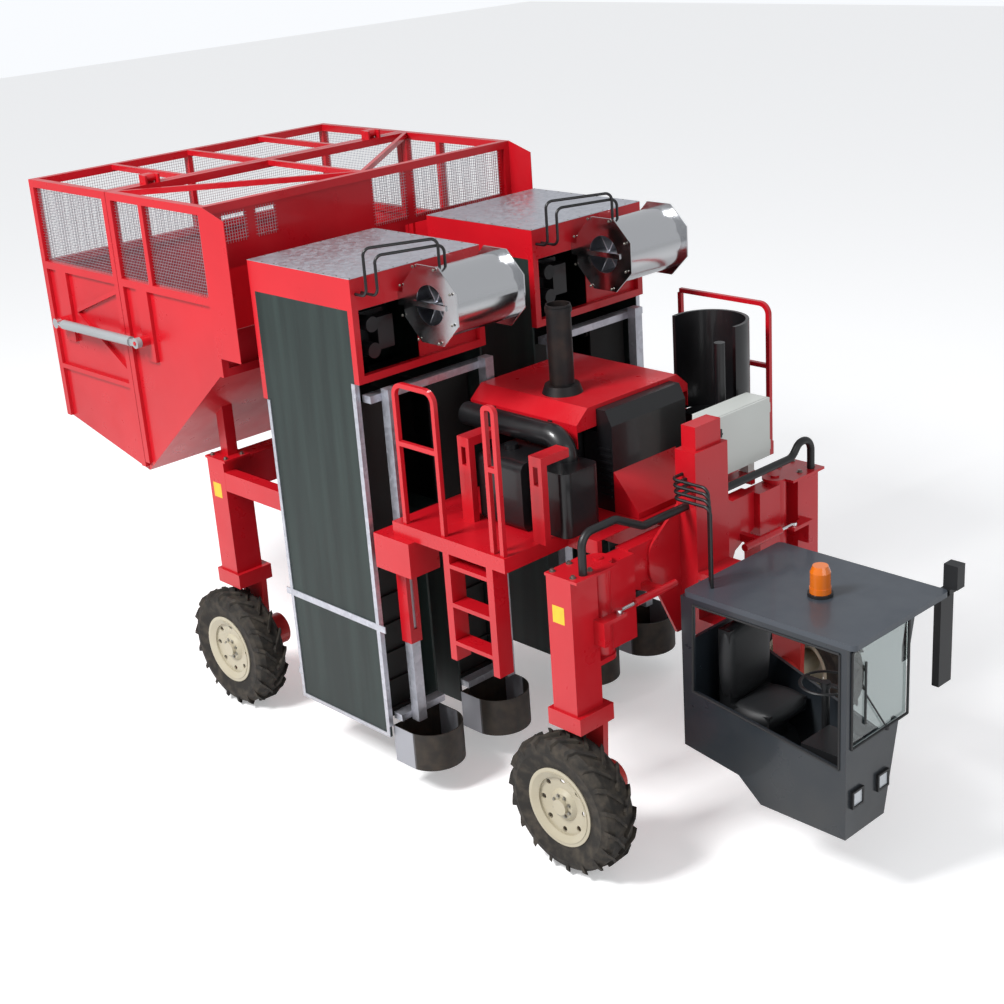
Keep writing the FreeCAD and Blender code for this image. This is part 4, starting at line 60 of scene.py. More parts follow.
# %% Helpers for colour and shader nodes
def paint_card(code):
    """A screen colour such as "C8202A" as linear red, green, blue and opacity."""
    values = [int(code[i:i + 2], 16) / 255 for i in (0, 2, 4)]
    return [v / 12.92 if v < 0.04045 else ((v + 0.055) / 1.055) ** 2.4 for v in values] + [1.0]


def add_node(material, kind, sockets=(), links=(), **settings):
    """Adds one shader node, fills its sockets and joins other nodes' outputs to its inputs."""
    made = material.node_tree.nodes.new(kind)
    for key, value in settings.items():
        setattr(made, key, value)
    for socket, value in dict(sockets).items():
        made.inputs[socket].default_value = value
    for socket, source in dict(links).items():
        material.node_tree.links.new(source, made.inputs[socket])
    return made


# %% [markdown]
# ### What all finishes share
# No real finish is one flat colour. Each could come from a photographed texture. Here a few small steps
# make them all, so they fit any solid at its true size: a plain finish, cloudy patches, a second colour
# where the patches are, and a fine relief that breaks up the reflections.


# %% Plain finish, patches, second colour and relief
def new_material(name, code, roughness, metallic=0.0, coat=0.0, shine=0.5):
    """A node material with its main shader set to one plain finish; returns the material and the shader."""
    material = bpy.data.materials.new(name)
    material.use_nodes = True
    shader = material.node_tree.nodes["Principled BSDF"]
    shader.inputs["Base Color"].default_value = paint_card(code)
    shader.inputs["Roughness"].default_value = roughness
    shader.inputs["Metallic"].default_value = metallic
    shader.inputs["Coat Weight"].default_value = coat
    shader.inputs["Coat Roughness"].default_value = 0.10
    shader.inputs["Specular IOR Level"].default_value = shine
    return material, shader


def noise(material, size, stretch=(1.0, 1.0, 1.0), detail=3.0):
    """A cloudy pattern whose spots are size metres across; stretch above 1 squeezes it along that axis."""
    place = add_node(material, "ShaderNodeTexCoord")
    squeeze = add_node(material, "ShaderNodeMapping", {"Scale": stretch}, {"Vector": place.outputs["Object"]})
    return add_node(material, "ShaderNodeTexNoise", {"Scale": 1 / size, "Detail": detail},
                    {"Vector": squeeze.outputs["Vector"]}).outputs["Fac"]


def remap(material, source, low, high, to_low, to_high):
    """Spreads the values from low to high over the values from to_low to to_high."""
    return add_node(material, "ShaderNodeMapRange",
                    {"From Min": low, "From Max": high, "To Min": to_low, "To Max": to_high},
                    {"Value": source}).outputs["Result"]


def tint(material, shader, amount, code):
    """Mixes a second colour into whatever the main shader's colour is so far."""
    socket = shader.inputs["Base Color"]
    mix = add_node(material, "ShaderNodeMix", links={"Factor": amount}, data_type="RGBA")
    mix.inputs["A"].default_value = socket.default_value
    if socket.links:
        material.node_tree.links.new(socket.links[0].from_socket, mix.inputs["A"])
    mix.inputs["B"].default_value = paint_card(code)
    material.node_tree.links.new(mix.outputs["Result"], socket)


def bump(material, shader, height, distance, strength=0.6):
    """Turns a pattern into relief that is distance metres deep."""
    relief = add_node(material, "ShaderNodeBump", {"Strength": strength, "Distance": distance},
                      {"Height": height})
    material.node_tree.links.new(relief.outputs["Normal"], shader.inputs["Normal"])


# %% [markdown]
# ### Field dust
# Dust is thrown up by the wheels, so it is thickest at the ground and gone just above them. Its amount is a
# fade with height times cloudy patches, which needs no painted image and fits every solid.

# %% Dust near the ground
FIELD_DUST = "8E8168"
DUST_PATCH = 0.35


def ground_dust(material, shader, amount, reach=1.4):
    """Field dust that is thickest at the ground and gone at the height called reach."""
    place = add_node(material, "ShaderNodeNewGeometry")
    split = add_node(material, "ShaderNodeSeparateXYZ", links={"Vector": place.outputs["Position"]})
    fade = remap(material, split.outputs["Z"], 0.0, reach, amount, 0.0)
    patch = remap(material, noise(material, DUST_PATCH, detail=6.0), 0.35, 0.7, 0.3, 1.0)
    both = add_node(material, "ShaderNodeMath", operation="MULTIPLY")
    material.node_tree.links.new(fade, both.inputs[0])
    material.node_tree.links.new(patch, both.inputs[1])
    tint(material, shader, both.outputs["Value"], FIELD_DUST)


# %% [markdown]
# ### Gloss enamel
# Red, cream, black and the greys are sprayed enamel. A sprayed coat is never quite flat: it has a fine
# ripple like orange peel, a few millimetres across, which breaks up its reflections. The colour drifts very
# slightly over about a metre, the gloss is uneven where it has been wiped, and field dust hangs on whatever
# is low down.


# %% Sprayed enamels
COAT_DRIFT = 0.9
WIPED_PATCH = 0.25
ORANGE_PEEL = 0.006
PEEL_DEPTH = 0.0002


def enamel(name, code, deep, roughness=0.30, coat=0.25, shine=0.35, dust=0.35):
    """Sprayed gloss paint: code is its colour, deep its shade where the coat is thicker."""
    material, shader = new_material(name, code, roughness, coat=coat, shine=shine)
    tint(material, shader, remap(material, noise(material, COAT_DRIFT), 0.35, 0.7, 0.0, 0.5), deep)
    wiped = noise(material, WIPED_PATCH, detail=5.0)
    rough = remap(material, wiped, 0.3, 0.7, roughness - 0.05, roughness + 0.10)
    material.node_tree.links.new(rough, shader.inputs["Roughness"])
    ground_dust(material, shader, dust)
    bump(material, shader, noise(material, ORANGE_PEEL), PEEL_DEPTH, 0.35)
    return material


RED = enamel("red_enamel", "B8121E", "A00D18")
CREAM = enamel("cream_rim_enamel", "B3AC98", "9C937D", roughness=0.42, dust=0.55)
CAB_GREY = enamel("cab_grey_enamel", "22282E", "1B2026", dust=0.1)
ROOF_GREY = enamel("roof_grey_enamel", "3B4149", "32383F", roughness=0.36)
LIGHT_GREY = enamel("cabinet_light_grey_enamel", "C3C6C2", "B7BAB6", roughness=0.38, coat=0.1)
BLACK = enamel("black_enamel", "121214", "0C0C0E", roughness=0.34)
CYLINDER_GREY = enamel("cylinder_grey_enamel", "8B8E90", "7C7F82", roughness=0.34)
print(len(bpy.data.materials), "enamels")

# %% [markdown]
# ### Galvanised sheet
# Hot-dipped zinc freezes into flat crystals a few centimetres across, each with its own tone and shine.
# Cloudy patches would look like cloth, so cells with one random value each stand for the crystals.

# %% Zinc with its crystals
ZINC_CRYSTAL = 0.035
ZINC, zinc_shader = new_material("galvanised_sheet", "C4C6CE", 0.4, metallic=0.85)
zinc_place = add_node(ZINC, "ShaderNodeTexCoord")
crystals = add_node(ZINC, "ShaderNodeTexVoronoi", {"Scale": 1 / ZINC_CRYSTAL},
                    {"Vector": zinc_place.outputs["Object"]})
crystal = add_node(ZINC, "ShaderNodeSeparateXYZ", links={"Vector": crystals.outputs["Color"]})
tint(ZINC, zinc_shader, remap(ZINC, crystal.outputs["X"], 0.0, 1.0, 0.0, 0.55), "A3A5AE")
crystal_shine = remap(ZINC, crystal.outputs["Y"], 0.0, 1.0, 0.28, 0.48)
ZINC.node_tree.links.new(crystal_shine, zinc_shader.inputs["Roughness"])
ground_dust(ZINC, zinc_shader, 0.4, 1.0)
print("galvanised sheet, crystals of", ZINC_CRYSTAL, "m")

# %% [markdown]
# ### Stainless sheet and hard chrome
# The fans' housings are rolled stainless sheet. The rolls leave fine lines, so a reflection smears across
# them. Patches squeezed along one axis make those lines. Chromed rods are ground and polished almost to a
# mirror.

# %% Stainless and chrome
ROLL_LINE = 0.05
ROLL_SQUEEZE = (0.3, 40.0, 0.3)
STAINLESS, stainless_shader = new_material("stainless_sheet", "C9CACC", 0.16, metallic=1.0)
roll_lines = noise(STAINLESS, ROLL_LINE, ROLL_SQUEEZE)
roll_shine = remap(STAINLESS, roll_lines, 0.3, 0.7, 0.10, 0.26)
STAINLESS.node_tree.links.new(roll_shine, stainless_shader.inputs["Roughness"])
bump(STAINLESS, stainless_shader, roll_lines, 0.0002, 0.4)

CHROME, chrome_shader = new_material("hard_chrome", "DADBDD", 0.07, metallic=1.0)
bump(CHROME, chrome_shader, noise(CHROME, 0.02), 0.00005, 0.2)
print("stainless and chrome")

# %% [markdown]
# ### Hot steel and cast iron
# The stack has been hot, so its paint has gone matt and browned in places. The engine is cast in sand,
# which leaves a grain of a few millimetres under a film of oil and dust. Both are a dark finish and a
# second colour.

# %% Stack and engine
STACK, stack_shader = new_material("heat_stained_steel", "161314", 0.5, metallic=0.5)
tint(STACK, stack_shader, remap(STACK, noise(STACK, 0.15, detail=6.0), 0.45, 0.75, 0.0, 0.5), "3A2A22")

IRON, iron_shader = new_material("engine_cast_iron", "1D2023", 0.6, metallic=0.3)
bump(IRON, iron_shader, noise(IRON, 0.004), 0.0006)
tint(IRON, iron_shader, remap(IRON, noise(IRON, 0.2, detail=6.0), 0.5, 0.8, 0.0, 0.5), "4A4238")
print("stack and engine")

# %% [markdown]
# ### The shoes at the foot of the units
# Each shoe is one solid, but its flat side plate is bright and its rounded nose is dark, worn steel. It
# could be cut into two solids. Here the finish tells them apart by whether a face looks straight to the
# side.

# %% Worn shoe sheet
SIDE_ON_FROM, SIDE_ON_TO = 0.985, 0.995
SHOE, shoe_shader = new_material("worn_shoe_sheet", "2A2622", 0.5, metallic=0.4)
facing = add_node(SHOE, "ShaderNodeNewGeometry")
facing_split = add_node(SHOE, "ShaderNodeSeparateXYZ", links={"Vector": facing.outputs["True Normal"]})
side_on = add_node(SHOE, "ShaderNodeMath", operation="ABSOLUTE")
SHOE.node_tree.links.new(facing_split.outputs["Y"], side_on.inputs[0])
tint(SHOE, shoe_shader, remap(SHOE, noise(SHOE, 0.12, detail=6.0), 0.4, 0.7, 0.0, 0.5), "4A3F34")
plate = remap(SHOE, side_on.outputs["Value"], SIDE_ON_FROM, SIDE_ON_TO, 0.0, 1.0)
tint(SHOE, shoe_shader, plate, "9C9DA3")
print("shoe sheet")

# %% [markdown]
# ### Tyre rubber
# Tyre rubber is dark and matt, with dust rubbed into it and a grain of about a centimetre where it is
# scuffed.

# %% Tyre rubber
RUBBER, rubber_shader = new_material("tyre_rubber", "1B1917", 0.78, shine=0.35)
tint(RUBBER, rubber_shader, remap(RUBBER, noise(RUBBER, 0.08, detail=6.0), 0.42, 0.75, 0.05, 0.45), "5A5145")
bump(RUBBER, rubber_shader, noise(RUBBER, 0.012), 0.0015)
print("tyre rubber")

# %% [markdown]
# ### The picking units' screens
# The units are walled with a dark coated screen, stretched flat on its frame: a tight weave, with faint
# streaks where rain and leaf juice have run down. At this scale the weave repeats about every five
# millimetres. That is coarser than a real one, which would be too fine to see from the camera.

# %% Coated screen
WEAVE_SCALE = 60.0
STREAK_SQUEEZE = (1.0, 1.0, 0.06)
CURTAIN, curtain_shader = new_material("coated_screen", "16211F", 0.5, shine=0.4)
streaks = noise(CURTAIN, 0.12, STREAK_SQUEEZE, 5.0)
tint(CURTAIN, curtain_shader, remap(CURTAIN, streaks, 0.4, 0.75, 0.0, 0.35), "33433F")
weave_place = add_node(CURTAIN, "ShaderNodeTexCoord")
threads = []
for axis in "XZ":
    wave = add_node(CURTAIN, "ShaderNodeTexWave", {"Scale": WEAVE_SCALE, "Distortion": 0.4},
                    {"Vector": weave_place.outputs["Object"]}, bands_direction=axis)
    threads.append(wave.outputs["Fac"])
weave = add_node(CURTAIN, "ShaderNodeMath", operation="MAXIMUM")
for socket, thread in zip(weave.inputs, threads):
    CURTAIN.node_tree.links.new(thread, socket)
bump(CURTAIN, curtain_shader, weave.outputs["Value"], 0.0006, 0.5)
print("coated screen")

# %% [markdown]
# ### Belts, hoses, plastic and vinyl
# These are all near black and differ in their grain: belts are rough, hoses smooth and a little shiny,
# moulded trim has a fine grain, and so has the seat's vinyl. The grain's real size is the first number of
# each pattern.

# %% Belts, hoses, plastic and vinyl
BELT, belt_shader = new_material("belt_rubber", "151514", 0.7)
bump(BELT, belt_shader, noise(BELT, 0.01), 0.0008)
HOSE, hose_shader = new_material("hose_rubber", "0E0E10", 0.45)
bump(HOSE, hose_shader, noise(HOSE, 0.004), 0.0003)
PLASTIC, plastic_shader = new_material("black_textured_plastic", "141517", 0.5)
bump(PLASTIC, plastic_shader, noise(PLASTIC, 0.002), 0.0003)
VINYL, vinyl_shader = new_material("seat_vinyl", "1A1B1D", 0.55)
bump(VINYL, vinyl_shader, noise(VINYL, 0.003), 0.0004)
print("belt, hose, plastic and vinyl")

# %% [markdown]
# ### Lenses, film, bolts and glass
# The beacon is moulded amber plastic with rings inside, and the lamps are ribbed glass: stretched patches
# stand for the rings and ribs. The film is glossy and slightly faded, plated bolts tarnish, and the
# windscreen is clear.

# %% Lenses, film, bolts and glass
AMBER, amber_shader = new_material("amber_lens", "D2690F", 0.12, coat=0.6)
bump(AMBER, amber_shader, noise(AMBER, 0.012, (0.2, 0.2, 2.0)), 0.001)
LAMP, lamp_shader = new_material("lamp_lens", "A9AEB3", 0.08, coat=0.8)
bump(LAMP, lamp_shader, noise(LAMP, 0.008, (1.0, 3.0, 0.3)), 0.001)
YELLOW, yellow_shader = new_material("yellow_film", "D6B01C", 0.35)
tint(YELLOW, yellow_shader, remap(YELLOW, noise(YELLOW, 0.03), 0.45, 0.8, 0.0, 0.4), "B08E17")
PLATED, plated_shader = new_material("zinc_plated_bolts", "8E8C86", 0.35, metallic=0.9)
tint(PLATED, plated_shader, remap(PLATED, noise(PLATED, 0.02), 0.45, 0.8, 0.0, 0.5), "6C6659")

GLASS, glass_shader = new_material("tinted_float_glass", "CBD8D6", 0.02)
glass_shader.inputs["Transmission Weight"].default_value = 1.0
glass_shader.inputs["IOR"].default_value = 1.52
print(len(bpy.data.materials), "materials")

# %% [markdown]
# ## What each solid is painted with
# Every solid could be given its finish by its own name. The table goes by the start of a name instead, so
# the four wheels or the two picking units share their rows.

# %% Give every solid its surface
FINISHES = [
    ("tyre", RUBBER), ("rim", CREAM), ("leg", RED), ("front_crossbeam", RED), ("rear_frame", RED), ("mast", RED),
    ("deck", RED), ("ladder", RED), ("engine_hood", RED), ("unit_frame", RED), ("guide_sleeves", RED),
    ("bin_fixed", RED), ("bin_tailgate", RED), ("bin_legs", RED), ("bin_mesh", ZINC), ("unit_metal", ZINC),
    ("unit_shoes", SHOE), ("unit_skins", CURTAIN), ("unit_belts", BELT), ("steering_rod", CHROME),
    ("cylinder_rod", CHROME), ("cylinder_barrel", CYLINDER_GREY), ("unit_hydraulics", BLACK),
    ("fan_housing", STAINLESS), ("fan_rotor", ZINC), ("engine_block", IRON), ("engine_surround", BLACK),
    ("tanks", BLACK), ("exhaust_stack", STACK), ("service_cabinet", LIGHT_GREY), ("cabinet_door", LIGHT_GREY),
    ("cab_shell", CAB_GREY), ("cab_roof", ROOF_GREY), ("mirror_bracket", PLASTIC), ("windscreen", GLASS),
    ("beacon", AMBER), ("head_lamps", LAMP), ("operator_station", PLASTIC), ("hoses", HOSE),
]
for name, solid in NODES.items():
    material = next(finish for start, finish in FINISHES if name.startswith(start))
    solid.data.materials.clear()
    solid.data.materials.append(material)
print("painted", len(NODES), "solids")

# %% [markdown]
# ## Small tools for added pieces
# Everything that is added here is a mesh, built in place from a few boxes, discs and rods, and then tied to
# the body that carries it, so that it moves with that body's joints.


# %% Bars, rods, bolts and finished pieces
def bar(mesh, low, high):
    """One square bar from its low corner to its high corner."""
    low, high = Vector(low), Vector(high)
    scale = Matrix.Diagonal((*(high - low), 1.0))
    bmesh.ops.create_cube(mesh, size=1.0, matrix=Matrix.Translation((low + high) / 2) @ scale)


def rod(mesh, start, end, radius, sides=12):
    """One round rod between two points, or a hexagon head with six sides."""
    start, end = Vector(start), Vector(end)
    turn = (end - start).to_track_quat("Z", "Y").to_matrix().to_4x4()
    bmesh.ops.create_cone(mesh, cap_ends=True, segments=sides, radius1=radius, radius2=radius,
                          depth=(end - start).length, matrix=Matrix.Translation((start + end) / 2) @ turn)


def bolt(mesh, place, axis, radius):
    """A hexagon head on its round washer, standing on a face whose outward direction is axis."""
    place, axis = Vector(place), Vector(axis)
    washer_top = place + axis * radius * 0.3
    rod(mesh, place, washer_top, radius * 1.5, 16)
    rod(mesh, washer_top, place + axis * radius * 1.2, radius, 6)


def as_object(mesh, name, material, body):
    """A finished mesh as a piece that rides on one body."""
    data = bpy.data.meshes.new(name)
    mesh.to_mesh(data)
    mesh.free()
    data.materials.append(material)
    piece = bpy.data.objects.new(name, data)
    bpy.context.scene.collection.objects.link(piece)
    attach(piece, body)
    return piece


# %% [markdown]
# Some solids hold several loose pieces, such as the bin's panes or the two lamps. Their places could be
# typed in. They are read from the solid instead: the script walks along the edges until no neighbour is
# left, and keeps the box of each group.

# %% The boxes of a solid's loose pieces
WELD_GAP = 1e-5


def loose_boxes(solid):
    """The boxes of a solid's separate pieces, each as (low, high)."""
    mesh = bmesh.new()
    mesh.from_mesh(solid.data)
    bmesh.ops.remove_doubles(mesh, verts=mesh.verts, dist=WELD_GAP)
    left = set(mesh.verts)
    found = []
    while left:
        stack = [left.pop()]
        island = []
        while stack:
            vertex = stack.pop()
            island.append(vertex.co.copy())
            for edge in vertex.link_edges:
                other = edge.other_vert(vertex)
                if other in left:
                    left.remove(other)
                    stack.append(other)
        found.append((Vector([min(p[i] for p in island) for i in range(3)]),
                      Vector([max(p[i] for p in island) for i in range(3)])))
    mesh.free()
    return sorted(found, key=lambda pair: tuple(pair[0]))


# %% [markdown]
# ## Woven wire in the bin's windows
# The windows above the middle rail are closed with welded wire mesh. A see-through pattern on a flat pane
# would look thin from the side, so each pane is two sets of thin square wires laid across each other, built
# bar by bar in the place of the solid pane that it stands for.

# %% Wire panes
WIRE = 0.0028
WIRE_PITCH = 0.026
for node_name, body in (("bin_mesh_fixed", "chassis"), ("bin_mesh_tailgate", "tailgate")):
    lattice = bmesh.new()
    for low, high in loose_boxes(NODES[node_name]):
        size = high - low
        thin = min(range(3), key=lambda i: size[i])
        middle = (low + high) / 2
        for across in (axis for axis in (2, 1, 0) if axis != thin):
            count = round(size[across] / WIRE_PITCH)
            for index in range(1, count):
                start = low.copy()
                end = high.copy()
                start[thin] = middle[thin] - WIRE / 2
                end[thin] = middle[thin] + WIRE / 2
                place = low[across] + size[across] * index / count
                start[across] = place - WIRE / 2
                end[across] = place + WIRE / 2
                bar(lattice, start, end)
    wires = len(lattice.verts) // 8
    panes = as_object(lattice, node_name.replace("mesh", "wire"), ZINC, body)
    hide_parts(node_name)
    print(node_name, wires, "wires")

# %% [markdown]
# ## Where the wheels and legs are
# The four corners repeat, so the pieces added there are made in one loop over two axles and two sides. A
# front leg turns with its kingpin, and a rear leg is fixed to the frame.

# %% Axles and sides
AXLES = (("front", 2.262, "steered_leg_front_{}"), ("rear", -2.122, "chassis"))
SIDES = (("left", 1), ("right", -1))
AXLE_HIGH = 0.58
print(len(AXLES) * len(SIDES), "corners")

# %% [markdown]
# ## Wheel nuts
# Each rim is clamped to its hub by a ring of studs. The nuts sit on the hub's flange and turn with the
# wheel.

# %% Wheel nuts
HUB_FACE = 1.5 + 0.1575 - 0.062 + 0.014
NUT_COUNT = 8
NUT_RING = 0.086
NUT_RADIUS = 0.011
for end_name, axle_x, _ in AXLES:
    for side_name, side in SIDES:
        nuts = bmesh.new()
        for index in range(NUT_COUNT):
            angle = math.tau * (index + 0.5) / NUT_COUNT
            place = (axle_x + NUT_RING * math.cos(angle), side * HUB_FACE, AXLE_HIGH + NUT_RING * math.sin(angle))
            bolt(nuts, place, (0.0, side, 0.0), NUT_RADIUS)
        as_object(nuts, f"wheel_nuts_{end_name}_{side_name}", PLATED, f"wheel_{end_name}_{side_name}")
print("wheel nuts", NUT_COUNT * len(AXLES) * len(SIDES))

# %% [markdown]
# ## Bolts and rivets on the frame
# The heads of the kingpins' plates and of the rear legs are bolted, the fans' eight-sided plates have a
# bolt at each corner, and the units' top sheets are riveted down along their edges, about a hand's width
# apart.

# %% Bolts on the legs' heads
HEAD_TOP = 2.472
HEAD_BOLT = 0.017
HEAD_ALONG = (-0.105, 0.105)
HEAD_ACROSS = (1.28, 1.46)
for end_name, axle_x, body in AXLES:
    for side_name, side in SIDES:
        heads = bmesh.new()
        for along in HEAD_ALONG:
            for across in HEAD_ACROSS:
                bolt(heads, (axle_x + along, side * across, HEAD_TOP), (0.0, 0.0, 1.0), HEAD_BOLT)
        as_object(heads, f"leg_head_bolts_{end_name}_{side_name}", PLATED, body.format(side_name))
print("leg bolts", len(HEAD_ALONG) * len(HEAD_ACROSS) * len(AXLES) * len(SIDES))

# %% Bolts on the fans' plates and rivets on the units' top sheets
FAN_BOLT_COUNT = 8
FAN_BOLT = 0.008
FAN_BOLT_INSET = 0.03
SHEET_START = {"left": 0.302, "right": -1.666}
SHEET_BACK, SHEET_FRONT, SHEET_LONG = -0.965, 0.322, 1.287
SHEET_EDGES, SHEET_ACROSS = (0.022, 1.342), 1.32
RIVET_FOOT, RIVET_TOP, RIVET_RADIUS = 4.487, 4.490, 0.008
RIVETS_ALONG, RIVETS_ACROSS = 8, 9
for side_name, start_y in SHEET_START.items():
    unit = f"picking_unit_{side_name}"
    low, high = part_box(f"fan_housing_{side_name}")
    middle = (low + high) / 2
    reach = (high.x - low.x) / 2 - FAN_BOLT_INSET
    fan = bmesh.new()
    for face_y, outward in ((low.y, -1.0), (high.y, 1.0)):
        for index in range(FAN_BOLT_COUNT):
            angle = math.tau * (index + 0.5) / FAN_BOLT_COUNT
            bolt(fan, (middle.x + reach * math.cos(angle), face_y, middle.z + reach * math.sin(angle)),
                 (0.0, outward, 0.0), FAN_BOLT)
    as_object(fan, f"fan_bolts_{side_name}", PLATED, unit)

    places = [(SHEET_BACK + SHEET_LONG * index / RIVETS_ALONG, start_y + edge)
              for index in range(RIVETS_ALONG + 1) for edge in SHEET_EDGES]
    places += [(x, start_y + SHEET_EDGES[0] + SHEET_ACROSS * index / RIVETS_ACROSS)
               for index in range(1, RIVETS_ACROSS) for x in (SHEET_BACK, SHEET_FRONT)]
    rivets = bmesh.new()
    for x, y in places:
        rod(rivets, (x, y, RIVET_FOOT), (x, y, RIVET_TOP), RIVET_RADIUS, 10)
    as_object(rivets, f"top_sheet_rivets_{side_name}", PLATED, unit)
    print("rivets on the", side_name, "unit:", len(places))

# %% [markdown]
# ## Blank yellow film on the legs
# Each leg carries a small square of yellow film on its outer face. They are left blank.

# %% Yellow film
FILM_IN, FILM_OUT = 1.510, 1.5112
FILM_BACK, FILM_FRONT = 0.075, 0.045
FILM_LOW, FILM_HIGH = 2.09, 2.23
for end_name, axle_x, body in AXLES:
    for side_name, side in SIDES:
        film = bmesh.new()
        near, far = sorted((side * FILM_IN, side * FILM_OUT))
        bar(film, (axle_x - FILM_BACK, near, FILM_LOW), (axle_x + FILM_FRONT, far, FILM_HIGH))
        as_object(film, f"yellow_film_{end_name}_{side_name}", YELLOW, body.format(side_name))
print("yellow films", len(AXLES) * len(SIDES))

# %% [markdown]
# ## Cab trim
# Black rubber seals the windscreen and edges the open side, a wiper lies on the glass, two black bezels
# hold the square lamps, and the beacon stands on a black collar. The service cabinet has two black quarter-
# turn latches.

# %% Seals round the windscreen and the open side
SCREEN_SEAL, SIDE_SEAL = 0.011, 0.010
SCREEN = ((4.164, -0.54, 1.29), (4.164, 0.17, 1.29), (4.164, 0.17, 2.065), (4.164, -0.54, 2.065))
SIDE = ((2.75, -0.602, 1.32), (4.10, -0.602, 1.13), (4.10, -0.602, 2.055), (2.77, -0.602, 2.055))
trim = bmesh.new()
for corners, radius in ((SCREEN, SCREEN_SEAL), (SIDE, SIDE_SEAL)):
    for start, end in zip(corners, corners[1:] + corners[:1]):
        rod(trim, start, end, radius, 8)
print("seals", len(SCREEN) + len(SIDE))

# %% Wiper and the beacon's collar
WIPER_PIVOT = ((4.168, -0.10, 1.27), (4.168, -0.10, 1.30))
WIPER_ARM = ((4.165, -0.10, 1.285), (4.160, -0.36, 1.66))
WIPER_BLADE = ((4.150, -0.368, 1.42), (4.162, -0.352, 1.92))
COLLAR = ((3.53, -0.04, 2.150), (3.53, -0.04, 2.176))
rod(trim, *WIPER_PIVOT, 0.018)
rod(trim, *WIPER_ARM, 0.007, 8)
bar(trim, *WIPER_BLADE)
rod(trim, *COLLAR, 0.096, 32)
print("wiper and collar")

# %% Lamp bezels
BEZEL = 0.016
BEZEL_PROUD = 0.010
for low, high in loose_boxes(NODES["head_lamps"]):
    for start, end in (
        ((low.x, low.y - BEZEL, low.z - BEZEL), (high.x + BEZEL_PROUD, low.y, high.z + BEZEL)),
        ((low.x, high.y, low.z - BEZEL), (high.x + BEZEL_PROUD, high.y + BEZEL, high.z + BEZEL)),
        ((low.x, low.y, low.z - BEZEL), (high.x + BEZEL_PROUD, high.y, low.z)),
        ((low.x, low.y, high.z), (high.x + BEZEL_PROUD, high.y, high.z + BEZEL)),
    ):
        bar(trim, start, end)
as_object(trim, "cab_trim", PLASTIC, "chassis")
print("cab trim set")

# %% The cabinet's latches
DOOR_FACE, LATCH_FACE, KNOB_FACE = 2.270, 2.280, 2.294
LATCH_NEAR, LATCH_MIDDLE, LATCH_FAR = 0.350, 0.3675, 0.385
LATCH_HALF = 0.035
latches = bmesh.new()
for latch_z in (2.82, 3.05):
    bar(latches, (DOOR_FACE, LATCH_NEAR, latch_z - LATCH_HALF), (LATCH_FACE, LATCH_FAR, latch_z + LATCH_HALF))
    rod(latches, (LATCH_FACE, LATCH_MIDDLE, latch_z), (KNOB_FACE, LATCH_MIDDLE, latch_z), 0.011)
as_object(latches, "cabinet_latches", PLASTIC, "cabinet_leaf")
print("cabinet latches set")

# %% [markdown]
# ## Louvres and latches round the engine
# Cooling air leaves the radiator housing through pressed louvres, and the hood is held down by rubber
# latches on its skirt.

# %% Louvres
LOUVRES = 8
LOUVRE_FOOT, LOUVRE_PITCH, LOUVRE_HIGH = 2.66, 0.055, 0.018
louvres = bmesh.new()
for side in (-1, 1):
    near, far = sorted((side * 0.438, side * 0.452))
    for index in range(LOUVRES):
        foot = LOUVRE_FOOT + LOUVRE_PITCH * index
        bar(louvres, (1.718, near, foot), (1.842, far, foot + LOUVRE_HIGH))
as_object(louvres, "radiator_louvres", BLACK, "chassis")
print("louvres", 2 * LOUVRES)

# %% Hood latches
CATCH_HALF = 0.018
CATCH_LOW, CATCH_HIGH = 3.215, 3.285
catches = bmesh.new()
for side in (-1, 1):
    near, far = sorted((side * 0.660, side * 0.676))
    for catch_x in (0.78, 1.42):
        bar(catches, (catch_x - CATCH_HALF, near, CATCH_LOW), (catch_x + CATCH_HALF, far, CATCH_HIGH))
as_object(catches, "hood_latches", PLASTIC, "chassis")
print("hood latches set")


# %% [markdown]
# ## The seat's cushions
# A driver's seat is foam under vinyl. Cloth simulation could inflate it, but the seat is small and in
# shade, so a formula does. Each cushion is a block with many points, whose faces are crowned by about two
# centimetres in the middle and pulled in along the edges, where the sewn piping holds the vinyl down.

# %% Crowned cushions
CROWN = 0.022
EDGE_PULL = 0.30


def cushion(name, low, high):
    """A padded block between two corners, crowned on every face."""
    low, high = Vector(low), Vector(high)
    middle, half = (low + high) / 2, (high - low) / 2
    mesh = bmesh.new()
    bmesh.ops.create_cube(mesh, size=2.0)
    bmesh.ops.subdivide_edges(mesh, edges=mesh.edges[:], cuts=9, use_grid_fill=True)
    for vertex in mesh.verts:
        u = vertex.co.copy()
        round_off = [math.sqrt(1 - EDGE_PULL * u[(i + 1) % 3] ** 2 / 2 - EDGE_PULL * u[(i + 2) % 3] ** 2 / 2)
                     for i in range(3)]
        bulge = [CROWN * (1 - u[(i + 1) % 3] ** 2) * (1 - u[(i + 2) % 3] ** 2) * u[i] for i in range(3)]
        vertex.co = middle + Vector([half[i] * u[i] * round_off[i] + bulge[i] for i in range(3)])
    piece = as_object(mesh, name, VINYL, "chassis")
    for polygon in piece.data.polygons:
        polygon.use_smooth = True


cushion("seat_cushion", (2.925, -0.375, 1.04), (3.305, 0.135, 1.185))
cushion("back_cushion", (2.800, -0.375, 1.165), (2.945, 0.135, 1.800))
print("two cushions")

# %% [markdown]
# ## Soft edges
# Folded sheet and welded tube never have a perfectly sharp corner. A small bevel lets each edge catch a
# thin line of light, as the real enamel does.

